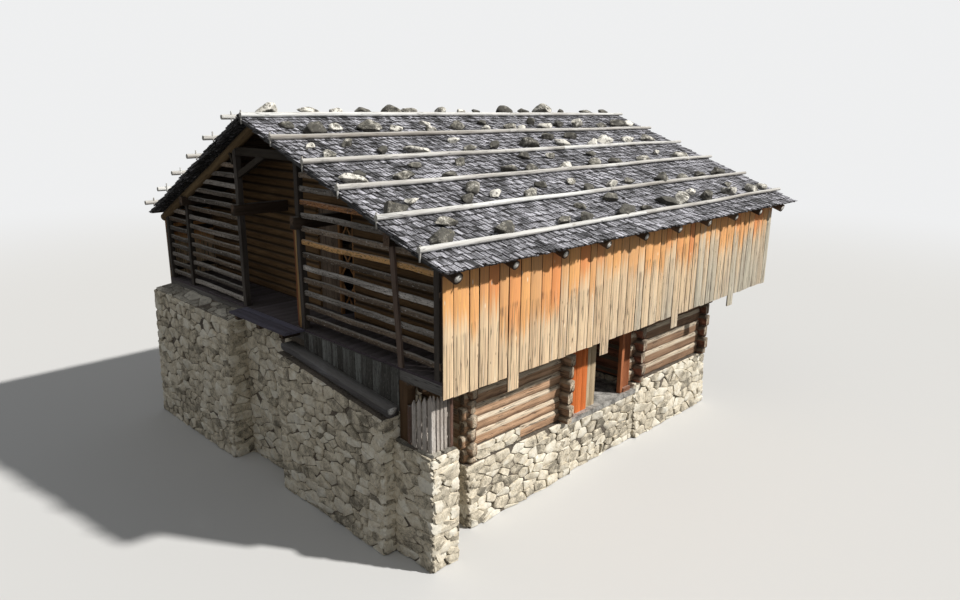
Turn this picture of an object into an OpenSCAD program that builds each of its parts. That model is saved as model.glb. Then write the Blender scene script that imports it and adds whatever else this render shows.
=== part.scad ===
// Alpine hay barn: a slatted timber loft on a stable storey of logs and rubble,
// under a shingle roof held down by poles.
// X points away from the uphill side, Y runs from the entrance gable to the rear
// gable, and Z = 0 is the lowest ground. Inside place(), x = 0 is the clad long
// face (all the house lies at negative x) and y = 0 is the entrance gable's face.

/* [House] */
// Width over the two long faces
house_w = 11300; // [10900:50:12500]
// Length from the entrance gable to the rear gable
house_l = 13000; // [12400:100:15000]
// Loft floor's top above the lowest ground
floor_z = 3830; // [3500:10:4400]
// Top of the ridge above the lowest ground
ridge_z = 8300; // [7900:10:9000]
// Ridge line's distance from the clad long face
ridge_in = 6050; // [5800:10:6300]

/* [Roof] */
// Pitch of the slope over the clad side, in degrees
pitch_east = 20.1; // [17:0.1:23]
// Pitch of the slope over the uphill side, in degrees
pitch_west = 25.7; // [22:0.1:28]
// Eave overhang beyond the clad face
eave_east = 400; // [250:10:700]
// Eave overhang beyond the uphill face
eave_west = 220; // [150:10:600]
// Verge overhang at the entrance gable
verge_front = 300; // [150:10:600]
// Verge overhang at the rear gable
verge_back = 600; // [300:10:900]
// Thickness of shingles and battens together
cover_t = 100; // [60:5:160]
// Diameter of a rafter log
rafter_d = 190; // [150:5:220]
// Diameter of the rafter logs in the two gables
gable_rafter_d = 220; // [190:5:260]
// Rafters on each slope
rafter_n = 10; // [8:1:14]
// How far the rafter ends stay behind the eave edge
rafter_back = 90; // [40:10:200]
// Diameter of a weighting pole
pole_d = 110; // [80:5:150]
// Weighting poles on each slope
pole_n = 6; // [4:1:8]
// Reach of the uphill slope's poles past the front verge
pole_out_west = 250; // [120:10:700]
// Reach of the other slope's poles past the front verge
pole_out_east = 75; // [60:5:300]
// Reach of every pole past the rear verge
pole_out_back = 100; // [0:10:400]
// Diameter of the pegs through the pole ends
peg_d = 40; // [20:1:50]
// Length of such a peg
peg_l = 230; // [180:10:400]

/* [Loft floor] */
// Thickness of the floor planks
plank_t = 50; // [30:5:80]
// Width of a floor beam
beam_w = 200; // [140:10:260]
// Height of a floor beam
beam_h = 200; // [160:10:280]
// Floor beams from gable to gable
beam_n = 10; // [8:1:14]

/* [Loft frame] */
// Side of a square post
post_w = 130; // [100:10:180]
// Width of the long plates
plate_w = 200; // [160:10:240]
// Height of the long plates
plate_h = 250; // [180:10:300]
// Underside of the two inner plates above the floor
inner_plate_h = 2180; // [1900:10:2400]
// Thickness of the girts that carry the boards
girt_t = 60; // [40:5:100]
// Height of a girt
girt_h = 130; // [80:5:180]
// Thickness of the cladding boards
clad_t = 30; // [20:1:50]
// How far the cladding hangs below the floor's top
clad_drop = 330; // [260:10:500]
// Further drop of the few long boards
long_drop = 310; // [150:10:400]
// Width of a cladding board
board_w = 330; // [200:10:400]
// Inner posts along each inner plate
loft_post_n = 2; // [1:1:4]

/* [Entrance gable] */
// Near face of the doorway's far post, from the clad face
door_post_a = 6950; // [6800:10:7100]
// Near face of the doorway's near post, from the clad face
door_post_b = 4390; // [4200:10:4550]
// Near face of the middle post of the uphill wing, from the clad face
wing_post_a = 9790; // [9400:10:10200]
// Foot of the leaning post of the other wing, from the clad face
lean_post_b = 1085; // [1000:10:1600]
// Lean of that post, in degrees
lean_deg = 5; // [0:0.5:8]
// Spacing of the rails in the uphill wing
rail_pitch_a = 245; // [200:5:320]
// Spacing of the rails in the other wing
rail_pitch_b = 276; // [200:5:320]
// Height of a rail
rail_h = 115; // [70:5:130]
// Thickness of a rail
rail_t = 60; // [40:5:90]
// Lowest rail's middle above the floor
rail_first = 130; // [90:10:200]
// Reach of the plank bridge in front of the gable
bridge_out = 500; // [300:10:700]

/* [Inner wall] */
// Face of the inner log wall behind the entrance gable
inner_y = 1250; // [1100:10:1400]
// Thickness of its logs
inner_t = 140; // [110:10:200]
// Height of one of its logs
inner_log_h = 210; // [160:5:260]
// Height of the board panel and lattice bay in it
inner_bay_h = 2460; // [2200:10:2700]
// Width of the board panel
inner_panel_w = 800; // [600:10:1000]
// Width of the lattice bay
lattice_w = 600; // [450:10:700]

/* [Stable storey] */
// How far the log walls stand back under the clad face
wall_back = 920; // [700:10:1200]
// Depth of the two log rooms
room_d = 4300; // [3500:50:5000]
// Near face of the near room, from the gable
near_y = 1500; // [1300:10:1700]
// Length of the near room
near_l = 3150; // [3000:50:3800]
// Near face of the far room, from the gable
far_y = 7600; // [7300:10:8000]
// Length of the far room
far_l = 3500; // [3000:50:3800]
// Foot of the near room's logs above the lowest ground
near_foot = 1400; // [1000:10:1800]
// Foot of the far room's logs above the lowest ground
far_foot = 1550; // [1000:10:1900]
// Log courses of the near room
near_n = 7; // [5:1:9]
// Log courses of the far room
far_n = 6; // [5:1:9]
// Thickness of the stable logs
log_t = 180; // [140:10:240]
// Bevel on the long edges of the stable logs
log_bevel = 34; // [15:1:50]
// Reach of the log ends past the corners
log_end = 220; // [120:10:300]
// Part of the near room's front that stands on stones where its lowest log has gone
near_patch = 1420; // [800:20:2000]

/* [Stonework] */
// Thickness of the rubble walls
stone_t = 550; // [450:10:700]
// How far the rubble stands proud of the logs
stone_proud = 80; // [30:10:150]
// Batter of the rubble faces over their height
batter = 90; // [0:10:200]
// Depth of the stone apron before the uphill wing
apron = 450; // [200:10:700]

/* [Hidden] */
$fn = 32;

// Overall reach, which sets the origin under the middle of the whole barn
front_out = verge_front + pole_out_west;
back_out = verge_back + pole_out_back;
all_w = eave_west + house_w + eave_east;
all_l = front_out + house_l + back_out;

// Roof planes: the covering's top is at ridge_z over the line x = -ridge_in
tan_e = tan(pitch_east);
tan_w = tan(pitch_west);
gable_y = post_w / 2;
cope = 35;
function cover_top(x) = x > -ridge_in ? ridge_z - tan_e * (x + ridge_in) : ridge_z + tan_w * (x + ridge_in);
function pitch_at(x) = x > -ridge_in ? pitch_east : pitch_west;
function cover_under(x) = cover_top(x) - cover_t / cos(pitch_at(x));
function axis_z(x, d) = cover_under(x) - d / 2 / cos(pitch_at(x));
function axis_x_east(z, d) = -ridge_in + (ridge_z - (cover_t + d / 2) / cos(pitch_east) - z) / tan_e;
function axis_x_west(z, d) = -ridge_in - (ridge_z - (cover_t + d / 2) / cos(pitch_west) - z) / tan_w;

// Levels of the loft floor
beam_top = floor_z - plank_t;
wall_top = beam_top - beam_h;
back_y = house_l;

// Post and plate places
side_post_x = -clad_t - girt_t - post_w;
far_post_x = -house_w + clad_t + girt_t;
plate_e = side_post_x + post_w / 2;
plate_w_x = far_post_x + post_w / 2;
inner_plate_z = floor_z + inner_plate_h;
door_a = -door_post_a - post_w / 2;
door_b = -door_post_b - post_w / 2;
inner_plate_top = inner_plate_z + plate_h;
eave_plate_top_e = axis_z(plate_e, rafter_d) - cope;
eave_plate_top_w = axis_z(plate_w_x, rafter_d) - cope;
ridge_plate_top = axis_z(-ridge_in, rafter_d) - cope;
rafter_pitch = (house_l - 2 * gable_y) / (rafter_n - 1);
beam_pitch = (house_l - beam_w) / (beam_n - 1);

// Split log at the foot of the skirt boards, and the stone ledge it lies on
skirt_log_d = 300;
skirt_log_deg = 6.5;
south_end = -wall_back - log_t - 150;
skirt_log_x0 = -door_post_b - 500;
skirt_log_x1 = south_end + 40;
function skirt_log_z(x) = floor_z - 470 - tan(skirt_log_deg) * (x + door_post_b);
ledge_x0 = skirt_log_x0 - 50;
ledge_out = skirt_log_d + clad_t + 60;
function ledge_z(x) = skirt_log_z(x) - skirt_log_d / 2 / cos(skirt_log_deg);

module place() translate([all_w / 2 - eave_east, front_out - all_l / 2, 0]) children();

// A box from one corner to the opposite one
module span(a, b) translate(a) cube(b - a);

// A prism of an outline in x and z, from y0 to y1
module prism_y(points, y0, y1)
    translate([0, y1, 0]) rotate([90, 0, 0]) linear_extrude(y1 - y0) polygon(points);

// A prism of an outline in y and z, from x0 to x1
module prism_x(points, x0, x1)
    translate([x0, 0, 0]) rotate([90, 0, 90]) linear_extrude(x1 - x0) polygon(points);

// Section of a timber with bevelled long edges, centred across, foot at z
function bevelled(c, z, t, h, b) = [
    [c - t / 2 + b, z], [c + t / 2 - b, z], [c + t / 2, z + b], [c + t / 2, z + h - b],
    [c + t / 2 - b, z + h], [c - t / 2 + b, z + h], [c - t / 2, z + h - b], [c - t / 2, z + b]
];

// Stonework

module rubble_wall_west()
    color("wheat") place()
    prism_y([[-house_w - batter, 0], [-house_w + stone_t, 0],
             [-house_w + stone_t, wall_top], [-house_w, wall_top]], stone_t, house_l);

module rubble_wall_south()
    color("wheat") place() {
        span([-house_w, 0, 0], [south_end, stone_t, wall_top]);
        prism_y([[ledge_x0, 0], [south_end, 0], [south_end, ledge_z(south_end)], [ledge_x0, ledge_z(ledge_x0)]],
                -ledge_out, 0);
    }

module rubble_apron()
    color("tan") place()
    prism_x([[-apron - batter, 0], [0, 0], [0, wall_top + 60], [-apron, wall_top - 40]],
            -house_w, -door_post_a - post_w);

module rubble_wall_north()
    color("wheat") place()
    intersection() {
        prism_x([[far_y + far_l - stone_t, 0], [far_y + far_l + batter, 0],
                 [far_y + far_l, wall_top], [far_y + far_l - stone_t, wall_top]],
                -house_w + stone_t, -wall_back - room_d - stone_proud);
        union() {
            span([-house_w, 0, 0], [0, 2 * house_l, far_foot]);
            span([-house_w, 0, 0], [-wall_back - room_d - log_end - 20, 2 * house_l, wall_top]);
        }
    }

// Ring of rubble under one log room, proud of its logs
module room_base(y0, len, foot) {
    x0 = -wall_back - room_d - stone_proud;
    x1 = -wall_back + stone_proud;
    t = log_t + 2 * stone_proud;
    difference() {
        span([x0, y0 - stone_proud, 0], [x1, y0 + len + stone_proud, foot]);
        span([x0 + t, y0 - stone_proud + t, -1], [x1 - t, y0 + len + stone_proud - t, foot + 1]);
    }
    prism_y([[x1, 0], [x1 + batter, 0], [x1, foot]], y0 - stone_proud, y0 + len + stone_proud);
}
module rubble_base_near_room() color("wheat") place() {
    room_base(near_y, near_l, near_foot);
    near_patch_box(0);
}
module rubble_base_far_room() color("wheat") place() room_base(far_y, far_l, far_foot);

// Pier under the picket corner and the prop
pier_x0 = south_end;
pier_x1 = -180;
pier_z = 2360;
picket_y1 = 430;
module rubble_corner_pier()
    color("wheat") place()
    span([pier_x0, -110, 0], [pier_x1, picket_y1 + 90, pier_z]);

// Stonework and floor of the passage between the rooms
passage_y0 = near_y + near_l;
passage_y1 = far_y;
passage_z = near_foot;
passage_t = 120;
module passage_base()
    color("wheat") place()
    for (x = [-wall_back - stone_t, -wall_back - room_d])
        span([x, passage_y0 + stone_proud, 0],
             [x + stone_t + stone_proud, passage_y1 - stone_proud, passage_z - passage_t]);
module passage_floor()
    color("gray") place()
    span([-wall_back - room_d, passage_y0 + stone_proud, passage_z - passage_t],
         [-wall_back + stone_proud + 60, passage_y1 - stone_proud, passage_z]);

// Log rooms. Logs along y stand on the foot; logs along x lie half a course
// higher, and each log keeps its middle half where the two cross.

// Section of a log's free end, slimmer than the log so that the ends stand apart
end_slim = 26;
function log_section(c, z, h, slim) =
    bevelled(c, z + slim / 2, log_t - slim / 2, h - slim, log_bevel);

module logs_along_y(xc, y0, y1, foot, n, h, reach)
    for (k = [0 : n - 1]) {
        z = foot + k * h;
        prism_y(bevelled(xc, z, log_t, h, log_bevel), y0, y1);
        prism_y(log_section(xc, z, h, k == n - 1 ? 0 : end_slim), y0 - reach[0][k], y1 + reach[1][k]);
    }

module logs_along_x(yc, x0, x1, foot, n, h, reach)
    intersection() {
        for (k = [0 : n]) {
            z = foot + (k - 0.5) * h;
            prism_x(bevelled(yc, z, log_t, h, log_bevel), x0, x1);
            prism_x(log_section(yc, z, h, end_slim), x0 - log_end, x1 + log_end * (reach + 0.2 * (k % 2)));
        }
        span([x0 - 2 * log_end, yc - log_t, foot], [x1 + 2 * log_end, yc + log_t, foot + n * h]);
    }

// What the crossing logs keep: slabs a quarter course each side of a joint
module crossing(xc, yc, foot, n, h, half)
    for (k = [0 : n])
        translate([xc - log_t / 2, yc - log_t / 2, foot + (k + half - 0.25) * h])
            cube([log_t, log_t, h / 2]);

east_x = -wall_back - log_t / 2;
west_x = -wall_back - room_d + log_t / 2;
function course(foot, n) = (wall_top - foot) / n;

module room_wall_y(xc, y0, len, foot, n, reach) {
    h = course(foot, n);
    difference() {
        logs_along_y(xc, y0, y0 + len, foot, n, h, reach);
        for (yc = [y0 + log_t / 2, y0 + len - log_t / 2])
            crossing(xc, yc, foot, n, h, 0);
    }
}
module room_wall_x(yc, foot, n, reach) {
    h = course(foot, n);
    difference() {
        logs_along_x(yc, -wall_back - room_d, -wall_back, foot, n, h, reach);
        for (xc = [east_x, west_x])
            crossing(xc, yc, foot, n, h, 0.5);
    }
}

// Log ends past the corners, with the top courses stepped out as brackets
bracket_far = back_y - beam_w / 2 - (far_y + far_l);
bracket_near = near_y - 350;
near_plain = [for (k = [0 : near_n - 1]) log_end];
near_stepped = [for (k = [0 : near_n - 1]) k == near_n - 1 ? bracket_near : log_end * (0.3 + 0.25 * (k % 2))];
far_reach = [[for (k = [0 : far_n - 1]) log_end],
             [for (k = [0 : far_n - 1])
                 k == far_n - 1 ? bracket_far : k == far_n - 2 ? bracket_far / 3 : log_end]];

module near_room_wall_east() color("sienna") place()
    difference() {
        room_wall_y(east_x, near_y, near_l, near_foot, near_n, [near_stepped, near_plain]);
        near_patch_box(1);
    }
// Where stones stand in for the lowest log of the near room's front
module near_patch_box(past)
    span([-wall_back - log_t - past, near_y + log_t, near_foot - past],
         [-wall_back + past, near_y + log_t + near_patch, near_foot + course(near_foot, near_n)]);
module near_room_wall_west() color("sienna") place()
    room_wall_y(west_x, near_y, near_l, near_foot, near_n, [near_plain, near_plain]);
module near_room_wall_south() color("peru") place()
    room_wall_x(near_y + log_t / 2, near_foot, near_n, 0.35);
module near_room_wall_north() color("peru") place()
    room_wall_x(near_y + near_l - log_t / 2, near_foot, near_n, 1.2);
module far_room_wall_east() color("sienna") place()
    room_wall_y(east_x, far_y, far_l, far_foot, far_n, far_reach);
module far_room_wall_west() color("sienna") place()
    room_wall_y(west_x, far_y, far_l, far_foot, far_n, far_reach);
module far_room_wall_south() color("peru") place()
    room_wall_x(far_y + log_t / 2, far_foot, far_n, 0.9);
module far_room_wall_north() color("peru") place()
    room_wall_x(far_y + far_l - log_t / 2, far_foot, far_n, 0.9);

// Passage front: boards beside the doorway, then posts on a sill
passage_door_y0 = 5930;
passage_door_y1 = 6930;
jamb_y = 5540;
module passage_boards() place() {
    color("chocolate")
        span([-wall_back - 60, passage_y0 + log_end + 10, passage_z], [-wall_back, jamb_y, wall_top]);
    color("tan")
        span([-wall_back - 110, jamb_y + 20, passage_z], [-wall_back - 40, passage_door_y0, wall_top]);
}
passage_sill_h = 110;
module passage_posts() place() {
    color("sandybrown")
        span([-wall_back - 60, passage_door_y1, passage_z], [-wall_back + 40, passage_door_y1 + 110, wall_top]);
    color("brown")
        span([-wall_back - 90, passage_door_y1 + 150, passage_z + passage_sill_h],
             [-wall_back, passage_y1 - log_end - 10, wall_top]);
}
module passage_sill() color("brown") place()
    span([-wall_back - 100, passage_door_y1 + 120, passage_z],
         [-wall_back + 60, passage_y1 - log_end - 10, passage_z + passage_sill_h]);

// Loft floor

module floor_beams() color("dimgray") place()
    for (i = [0 : beam_n - 1])
        span([-house_w + clad_t, i * beam_pitch, wall_top], [-clad_t, i * beam_pitch + beam_w, beam_top]);

module loft_floor() color("gray") place()
    span([-house_w + clad_t, 0, beam_top], [-clad_t, back_y, floor_z]);

// Prop under the overhanging corner, with its bracket
prop_x = -wall_back - log_t - 80;
prop_w = 220;
module corner_prop() color("darkkhaki") place() {
    span([prop_x, -20, pier_z], [prop_x + prop_w, 180, wall_top]);
    prism_y([[prop_x + prop_w, wall_top - 160], [prop_x + prop_w + 170, wall_top], [prop_x + prop_w, wall_top]],
            20, 140);
}

// Plank bridge on two bearers that run out over the first two floor beams
bridge_x0 = -door_post_a + 80;
bridge_x1 = -door_post_b - 20;
bearer_h = 120;
module bridge_planks() color("slategray") place()
    span([bridge_x0, -bridge_out, beam_top], [bridge_x1, 0, floor_z]);
module bridge_bearers() color("dimgray") place()
    for (x = [bridge_x0 + 250, (bridge_x0 + bridge_x1) / 2, bridge_x1 - 250])
        span([x - 70, -bridge_out + 60, beam_top - bearer_h], [x + 70, 0, beam_top]);

// Gable frames

// Raw log of one gable or inner rafter, from the ridge to the eave
module rafter_log(side, y, d) {
    run = side > 0 ? ridge_in + eave_east - rafter_back : house_w - ridge_in + eave_west - rafter_back;
    pitch = side > 0 ? pitch_east : pitch_west;
    start = d;
    translate([-ridge_in, y, axis_z(-ridge_in + side, d)])
        rotate([0, side > 0 ? 90 + pitch : -90 - pitch, 0])
        translate([0, 0, -start]) cylinder(d = d, h = start + run / cos(pitch));
}
module gable_rafters(y)
    for (side = [1, -1]) rafter_log(side, y, gable_rafter_d);

// Short plates under the gable rafters, from the wing posts back to the inner wall
wing_plate_w = 180;
wing_plate_h = 230;
wing_a = -wing_post_a - post_w / 2;
function wing_plate_z(x) = axis_z(x, gable_rafter_d) - cope - wing_plate_h;
lean_foot = -lean_post_b - post_w / 2;
wing_b = lean_foot - tan(lean_deg) * (wing_plate_z(lean_foot) - floor_z);
module wing_plates() color("saddlebrown") place()
    for (x = [wing_a, wing_b])
        difference() {
            span([x - wing_plate_w / 2, plate_front, wing_plate_z(x)],
                 [x + wing_plate_w / 2, inner_y, wing_plate_z(x) + wing_plate_h]);
            gable_rafters(gable_y);
        }

// A gable post from z0 up to its coped seat under the gable rafter
module gable_post(x, y, z0)
    difference() {
        span([x, y - post_w / 2, z0], [x + post_w, y + post_w / 2, axis_z(x + post_w / 2, gable_rafter_d) - cope]);
        gable_rafters(y);
    }

// Posts of one gable: corners and wing posts whole, door posts cut by the plates
module gable_frame(y, wing) {
    gable_post(side_post_x, y, floor_z);
    gable_post(far_post_x, y, floor_z);
    for (x = wing) gable_post(x, y, floor_z);
    for (x = [door_a, door_b]) {
        span([x - post_w / 2, y - post_w / 2, floor_z], [x + post_w / 2, y + post_w / 2, inner_plate_z]);
        gable_post(x - post_w / 2, y, inner_plate_top);
    }
}

module front_posts() color("saddlebrown") place() {
    gable_frame(gable_y, []);
    span([wing_a - post_w / 2, 0, floor_z], [wing_a + post_w / 2, post_w, wing_plate_z(wing_a)]);
}

back_gable_y = back_y - gable_y;
module back_posts() color("saddlebrown") place()
    gable_frame(back_gable_y, [-wing_post_a - post_w, -lean_post_b - post_w]);

// One rail between two faces, stopped by the gable rafter above it
module rail(x0, x1, y, z) {
    low = max(x0, axis_x_west(z, gable_rafter_d));
    high = min(x1, axis_x_east(z, gable_rafter_d));
    reach = z + rail_h / 2 + gable_rafter_d * 1.15;
    if (high - low > 3 * rail_h)
        difference() {
            prism_x(bevelled(y, z - rail_h / 2, rail_t, rail_h, rail_t / 4), low, high);
            if (x0 < axis_x_west(reach, 0) || x1 > axis_x_east(reach, 0)) gable_rafters(y);
        }
}
module rails(x0, x1, y, first, pitch, top)
    for (z = [floor_z + first : pitch : top - rail_h])
        rail(x0, x1, y, z);

rails_below_ridge = 900;
rails_top = ridge_z - rails_below_ridge;
module front_rails_west() color("gray") place()
    difference() {
        union() {
            rails(far_post_x + post_w, -wing_post_a - post_w, gable_y, rail_first + 60, rail_pitch_a, rails_top);
            rails(-wing_post_a, -door_post_a - post_w, gable_y, rail_first, rail_pitch_a, rails_top);
        }
        wing_plate_seat(wing_a);
        inner_plate_boxes(plate_front, back_y);
    }
module front_rails_east() color("gray") place()
    difference() {
        rails(-door_post_b, side_post_x, gable_y, rail_first + 125, rail_pitch_b, rails_top);
        wing_plate_seat(wing_b);
        inner_plate_boxes(plate_front, back_y);
    }
// Room in the rails for one wing plate, up through the rafter above it
module wing_plate_seat(x)
    span([x - wing_plate_w / 2, -1, wing_plate_z(x)], [x + wing_plate_w / 2, post_w + 1, ridge_z]);
module back_rails() color("gray") place()
    difference() {
        for (bay = [[far_post_x + post_w, -wing_post_a - post_w], [-wing_post_a, -door_post_a - post_w],
                    [-door_post_a, -door_post_b - post_w], [-door_post_b, -lean_post_b - post_w],
                    [-lean_post_b, side_post_x]])
            rails(bay[0], bay[1], back_gable_y, rail_first, rail_pitch_b, rails_top);
        span([-ridge_in - plate_w, back_gable_y - post_w, ridge_plate_top - plate_h - rail_h],
             [-ridge_in + plate_w, back_gable_y + post_w, ridge_z]);
        inner_plate_boxes(plate_front, back_y);
    }

// Leaning post before the rails, from the floor to its short plate
lean_y = -15;
lean_t = gable_y - rail_t / 2 - lean_y;
module leaning_post() color("rosybrown") place()
    difference() {
        intersection() {
            translate([-lean_post_b, 0, floor_z]) rotate([0, -lean_deg, 0])
                translate([-post_w, lean_y, -post_w]) cube([post_w, lean_t, 3 * inner_plate_h]);
            span([-2 * lean_post_b - post_w, lean_y - 1, floor_z], [0, gable_y, wing_plate_z(wing_b)]);
        }
        gable_rafters(gable_y);
    }

// Pair of jamb posts beside the doorway, up to the plate's level
jamb_w = 95;
jamb_gap = 15;
jamb_step = jamb_w + jamb_gap;
module door_jambs() place()
    for (i = [0, 1])
        color(i == 0 ? "burlywood" : "brown")
        span([-door_post_b - post_w - jamb_gap - jamb_w - i * jamb_step, 25 + i * 30, floor_z],
             [-door_post_b - post_w - jamb_gap - i * jamb_step, 105 + i * 30, inner_plate_z]);

// Collar between the door posts with the brace under it, and the curved knee between
// the far door post and the gable rafter above the uphill wing
door_post_top = axis_z(door_a, gable_rafter_d) - cope;
collar_h = 190;
collar_t = 110;
collar_z = door_post_top - collar_h;
brace_w = 140;
brace_t = 80;
brace_deg = 22;
brace_foot_z = collar_z - 510;
knee_t = 70;
knee_r = 330;
knee_sink = 12;
module door_braces() color("peru") place()
    difference() {
        union() {
            intersection() {
                translate([-door_post_a, gable_y, brace_foot_z]) rotate([0, -brace_deg, 0])
                    translate([-2 * brace_w, -brace_t / 2, 0])
                    cube([door_post_a - door_post_b, brace_t, brace_w]);
                span([-door_post_a, 0, inner_plate_top], [-door_post_b - post_w, post_w, collar_z]);
            }
            intersection() {
                prism_x(bevelled(gable_y, collar_z, collar_t, collar_h, collar_t / 5),
                        -door_post_a, -door_post_b - post_w);
                under_rafters(0, post_w);
            }
            door_knee();
        }
        gable_rafters(gable_y);
    }

// All that lies below the axes of the gable rafters
module under_rafters(y0, y1)
    prism_y([[-house_w, 0], [0, 0], [0, axis_z(0, gable_rafter_d)],
             [-ridge_in, axis_z(-ridge_in + 1, gable_rafter_d)],
             [-house_w, axis_z(-house_w, gable_rafter_d)]], y0, y1);

// Quarter ring, flat against the post's side and coped to the rafter's underside
module door_knee() {
    face_x = -door_post_a - post_w;
    centre_x = face_x + knee_sink - knee_r - knee_t / 2;
    foot_z = door_post_top - knee_r - knee_t;
    intersection() {
        translate([centre_x, lean_y + lean_t, foot_z]) rotate([90, 0, 0])
            difference() {
                cylinder(r = knee_r + knee_t / 2, h = lean_t);
                translate([0, 0, -1]) cylinder(r = knee_r - knee_t / 2, h = lean_t + 2);
            }
        prism_y([[centre_x, foot_z], [face_x, foot_z], [face_x, axis_z(face_x, gable_rafter_d)],
                 [centre_x, axis_z(centre_x, gable_rafter_d)]], lean_y, lean_y + lean_t);
    }
}

// Skirt boards under the clad wing and the split log at their foot
skirt_x0 = -door_post_b - 30;
skirt_x1 = south_end + 60;
skirt_h0 = 510;
skirt_h1 = 870;
skirt_low0 = floor_z - skirt_h0;
skirt_low1 = floor_z - skirt_h1;
module skirt_boards() color("dimgray") place()
    prism_y([[skirt_x0, beam_top], [skirt_x0, skirt_low0], [skirt_x1, skirt_low1], [skirt_x1, beam_top]],
            -clad_t, 0);

module skirt_log() color("darkgray") place()
    difference() {
        translate([skirt_log_x0, -clad_t - skirt_log_d / 2, skirt_log_z(skirt_log_x0)])
            rotate([0, 90 + skirt_log_deg, 0])
            intersection() {
                cylinder(d = skirt_log_d, h = (skirt_log_x1 - skirt_log_x0) / cos(skirt_log_deg));
                translate([-60, -skirt_log_d, -1]) cube([skirt_log_d, 2 * skirt_log_d, 2 * house_w]);
            }
        span([-house_w, -apron, 0], [ledge_x0, 1, wall_top]);
    }

// Picket screen round the overhang's corner: two rails behind pointed pickets, wide
// ones in front and narrow ones at the side, tallest at the corner
picket_w = 104;
picket_side_w = 62;
picket_t = 30;
picket_gap = 46;
picket_h = 1150;
picket_fall = 70;
picket_x0 = -wall_back + 60;
picket_x1 = -270;
picket_rail = 50;
picket_post = 90;
picket_rail_low = 180;
picket_rail_high = 640;
module picket(w, h)
    rotate([90, 0, 0]) linear_extrude(picket_t)
        polygon([[0, 0], [w, 0], [w, h - 110], [w / 2, h], [0, h - 110]]);
module picket_screen() color("lightslategray") place() {
    step = picket_w + picket_gap;
    side_step = picket_side_w + picket_gap / 1.4;
    front_n = floor((picket_x1 - picket_x0 + picket_gap) / step);
    side_n = floor(picket_y1 / side_step);
    for (i = [0 : front_n - 1])
        translate([picket_x1 - picket_w - i * step, 0, pier_z]) picket(picket_w, picket_h - picket_fall * i);
    for (i = [0 : side_n - 1])
        translate([picket_x1 - picket_t, i * side_step, pier_z]) rotate([0, 0, 90])
            picket(picket_side_w, picket_h - 45 * (i % 2));
    for (z = [pier_z + picket_rail_low, pier_z + picket_rail_high]) {
        span([picket_x0, 0, z], [picket_x1 - picket_t, picket_rail, z + 80]);
        span([picket_x1 - picket_t - picket_rail, 0, z], [picket_x1 - picket_t, picket_y1, z + 80]);
    }
    span([picket_x0 - picket_post, -30, pier_z],
         [picket_x0, 60, pier_z + picket_h - front_n * picket_fall - picket_post]);
    span([picket_x1 - picket_post, picket_y1 - 20, pier_z],
         [picket_x1, picket_y1 - 20 + picket_post, pier_z + picket_h - picket_post]);
}

// Inner log wall across the loft, with a bay of boards and lattice

bay_from_post = 1295;
bay_x0 = -door_post_b - bay_from_post;
bay_x1 = bay_x0 + inner_panel_w + lattice_w;
bay_top = floor_z + inner_bay_h;
inner_x0 = far_post_x + post_w;
inner_x1 = side_post_x;
module inner_log_wall() color("saddlebrown") place()
    difference() {
        intersection() {
            for (k = [0 : ceil((ridge_z - floor_z) / inner_log_h)])
                prism_x(bevelled(inner_y + inner_t / 2, floor_z + k * inner_log_h, inner_t, inner_log_h, 24),
                        inner_x0, inner_x1);
            prism_y([[inner_x0, floor_z], [inner_x1, floor_z],
                     [inner_x1, cover_under(inner_x1)], [-ridge_in, cover_under(-ridge_in + 1)],
                     [-ridge_in, cover_under(-ridge_in - 1)], [inner_x0, cover_under(inner_x0)]],
                    inner_y, inner_y + inner_t);
        }
        span([bay_x0, inner_y - 1, floor_z - 1], [bay_x1, inner_y + inner_t + 1, bay_top]);
        plate_boxes(inner_y - 1, inner_y + inner_t + 1);
        rafter_set(1);
        rafter_set(-1);
    }

module inner_board_panel() color("tan") place()
    span([bay_x0, inner_y + 50, floor_z], [bay_x0 + inner_panel_w, inner_y + 90, bay_top]);

// Lattice bay: a frame of two posts with crossed laths behind them
lattice_post = 70;
lattice_n = 3;
module inner_lattice() color("peru") place() {
    x0 = bay_x0 + inner_panel_w;
    cell = inner_bay_h / lattice_n;
    rise = atan(cell / lattice_w);
    difference() {
        union() {
            for (x = [x0, bay_x1 - lattice_post])
                span([x, inner_y + 20, floor_z], [x + lattice_post, inner_y + 90, bay_top]);
            for (k = [0 : lattice_n - 1], s = [0, 1])
                intersection() {
                    translate([s ? bay_x1 : x0, inner_y + 30 + 25 * s, floor_z + k * cell])
                        rotate([0, s ? rise - 180 : -rise, 0])
                        translate([-100, 0, -17]) cube([2 * cell, 25, 34]);
                    span([x0, inner_y, floor_z + k * cell],
                         [bay_x1, inner_y + inner_t, floor_z + (k + 1) * cell]);
                }
        }
        inner_plate_boxes(plate_front, back_y);
    }
}

// Side walls of the loft: posts, girts and the boards before them

side_post_n = 5;
side_post_pitch = (house_l - post_w) / (side_post_n + 1);
module side_posts() color("saddlebrown") place()
    for (i = [1 : side_post_n], s = [0, 1])
        span([s ? far_post_x : side_post_x, i * side_post_pitch, floor_z],
             [(s ? far_post_x : side_post_x) + post_w, i * side_post_pitch + post_w,
              (s ? eave_plate_top_w : eave_plate_top_e) - plate_h]);

module side_girts() color("peru") place()
    for (s = [0, 1], k = [0, 1]) {
        top = (s ? eave_plate_top_w : eave_plate_top_e) - plate_h;
        x = s ? -house_w + clad_t : -clad_t - girt_t;
        z = floor_z + (0.12 + 0.7 * k) * (top - floor_z);
        span([x, 0, z], [x + girt_t, back_y, z + girt_h]);
    }

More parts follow.
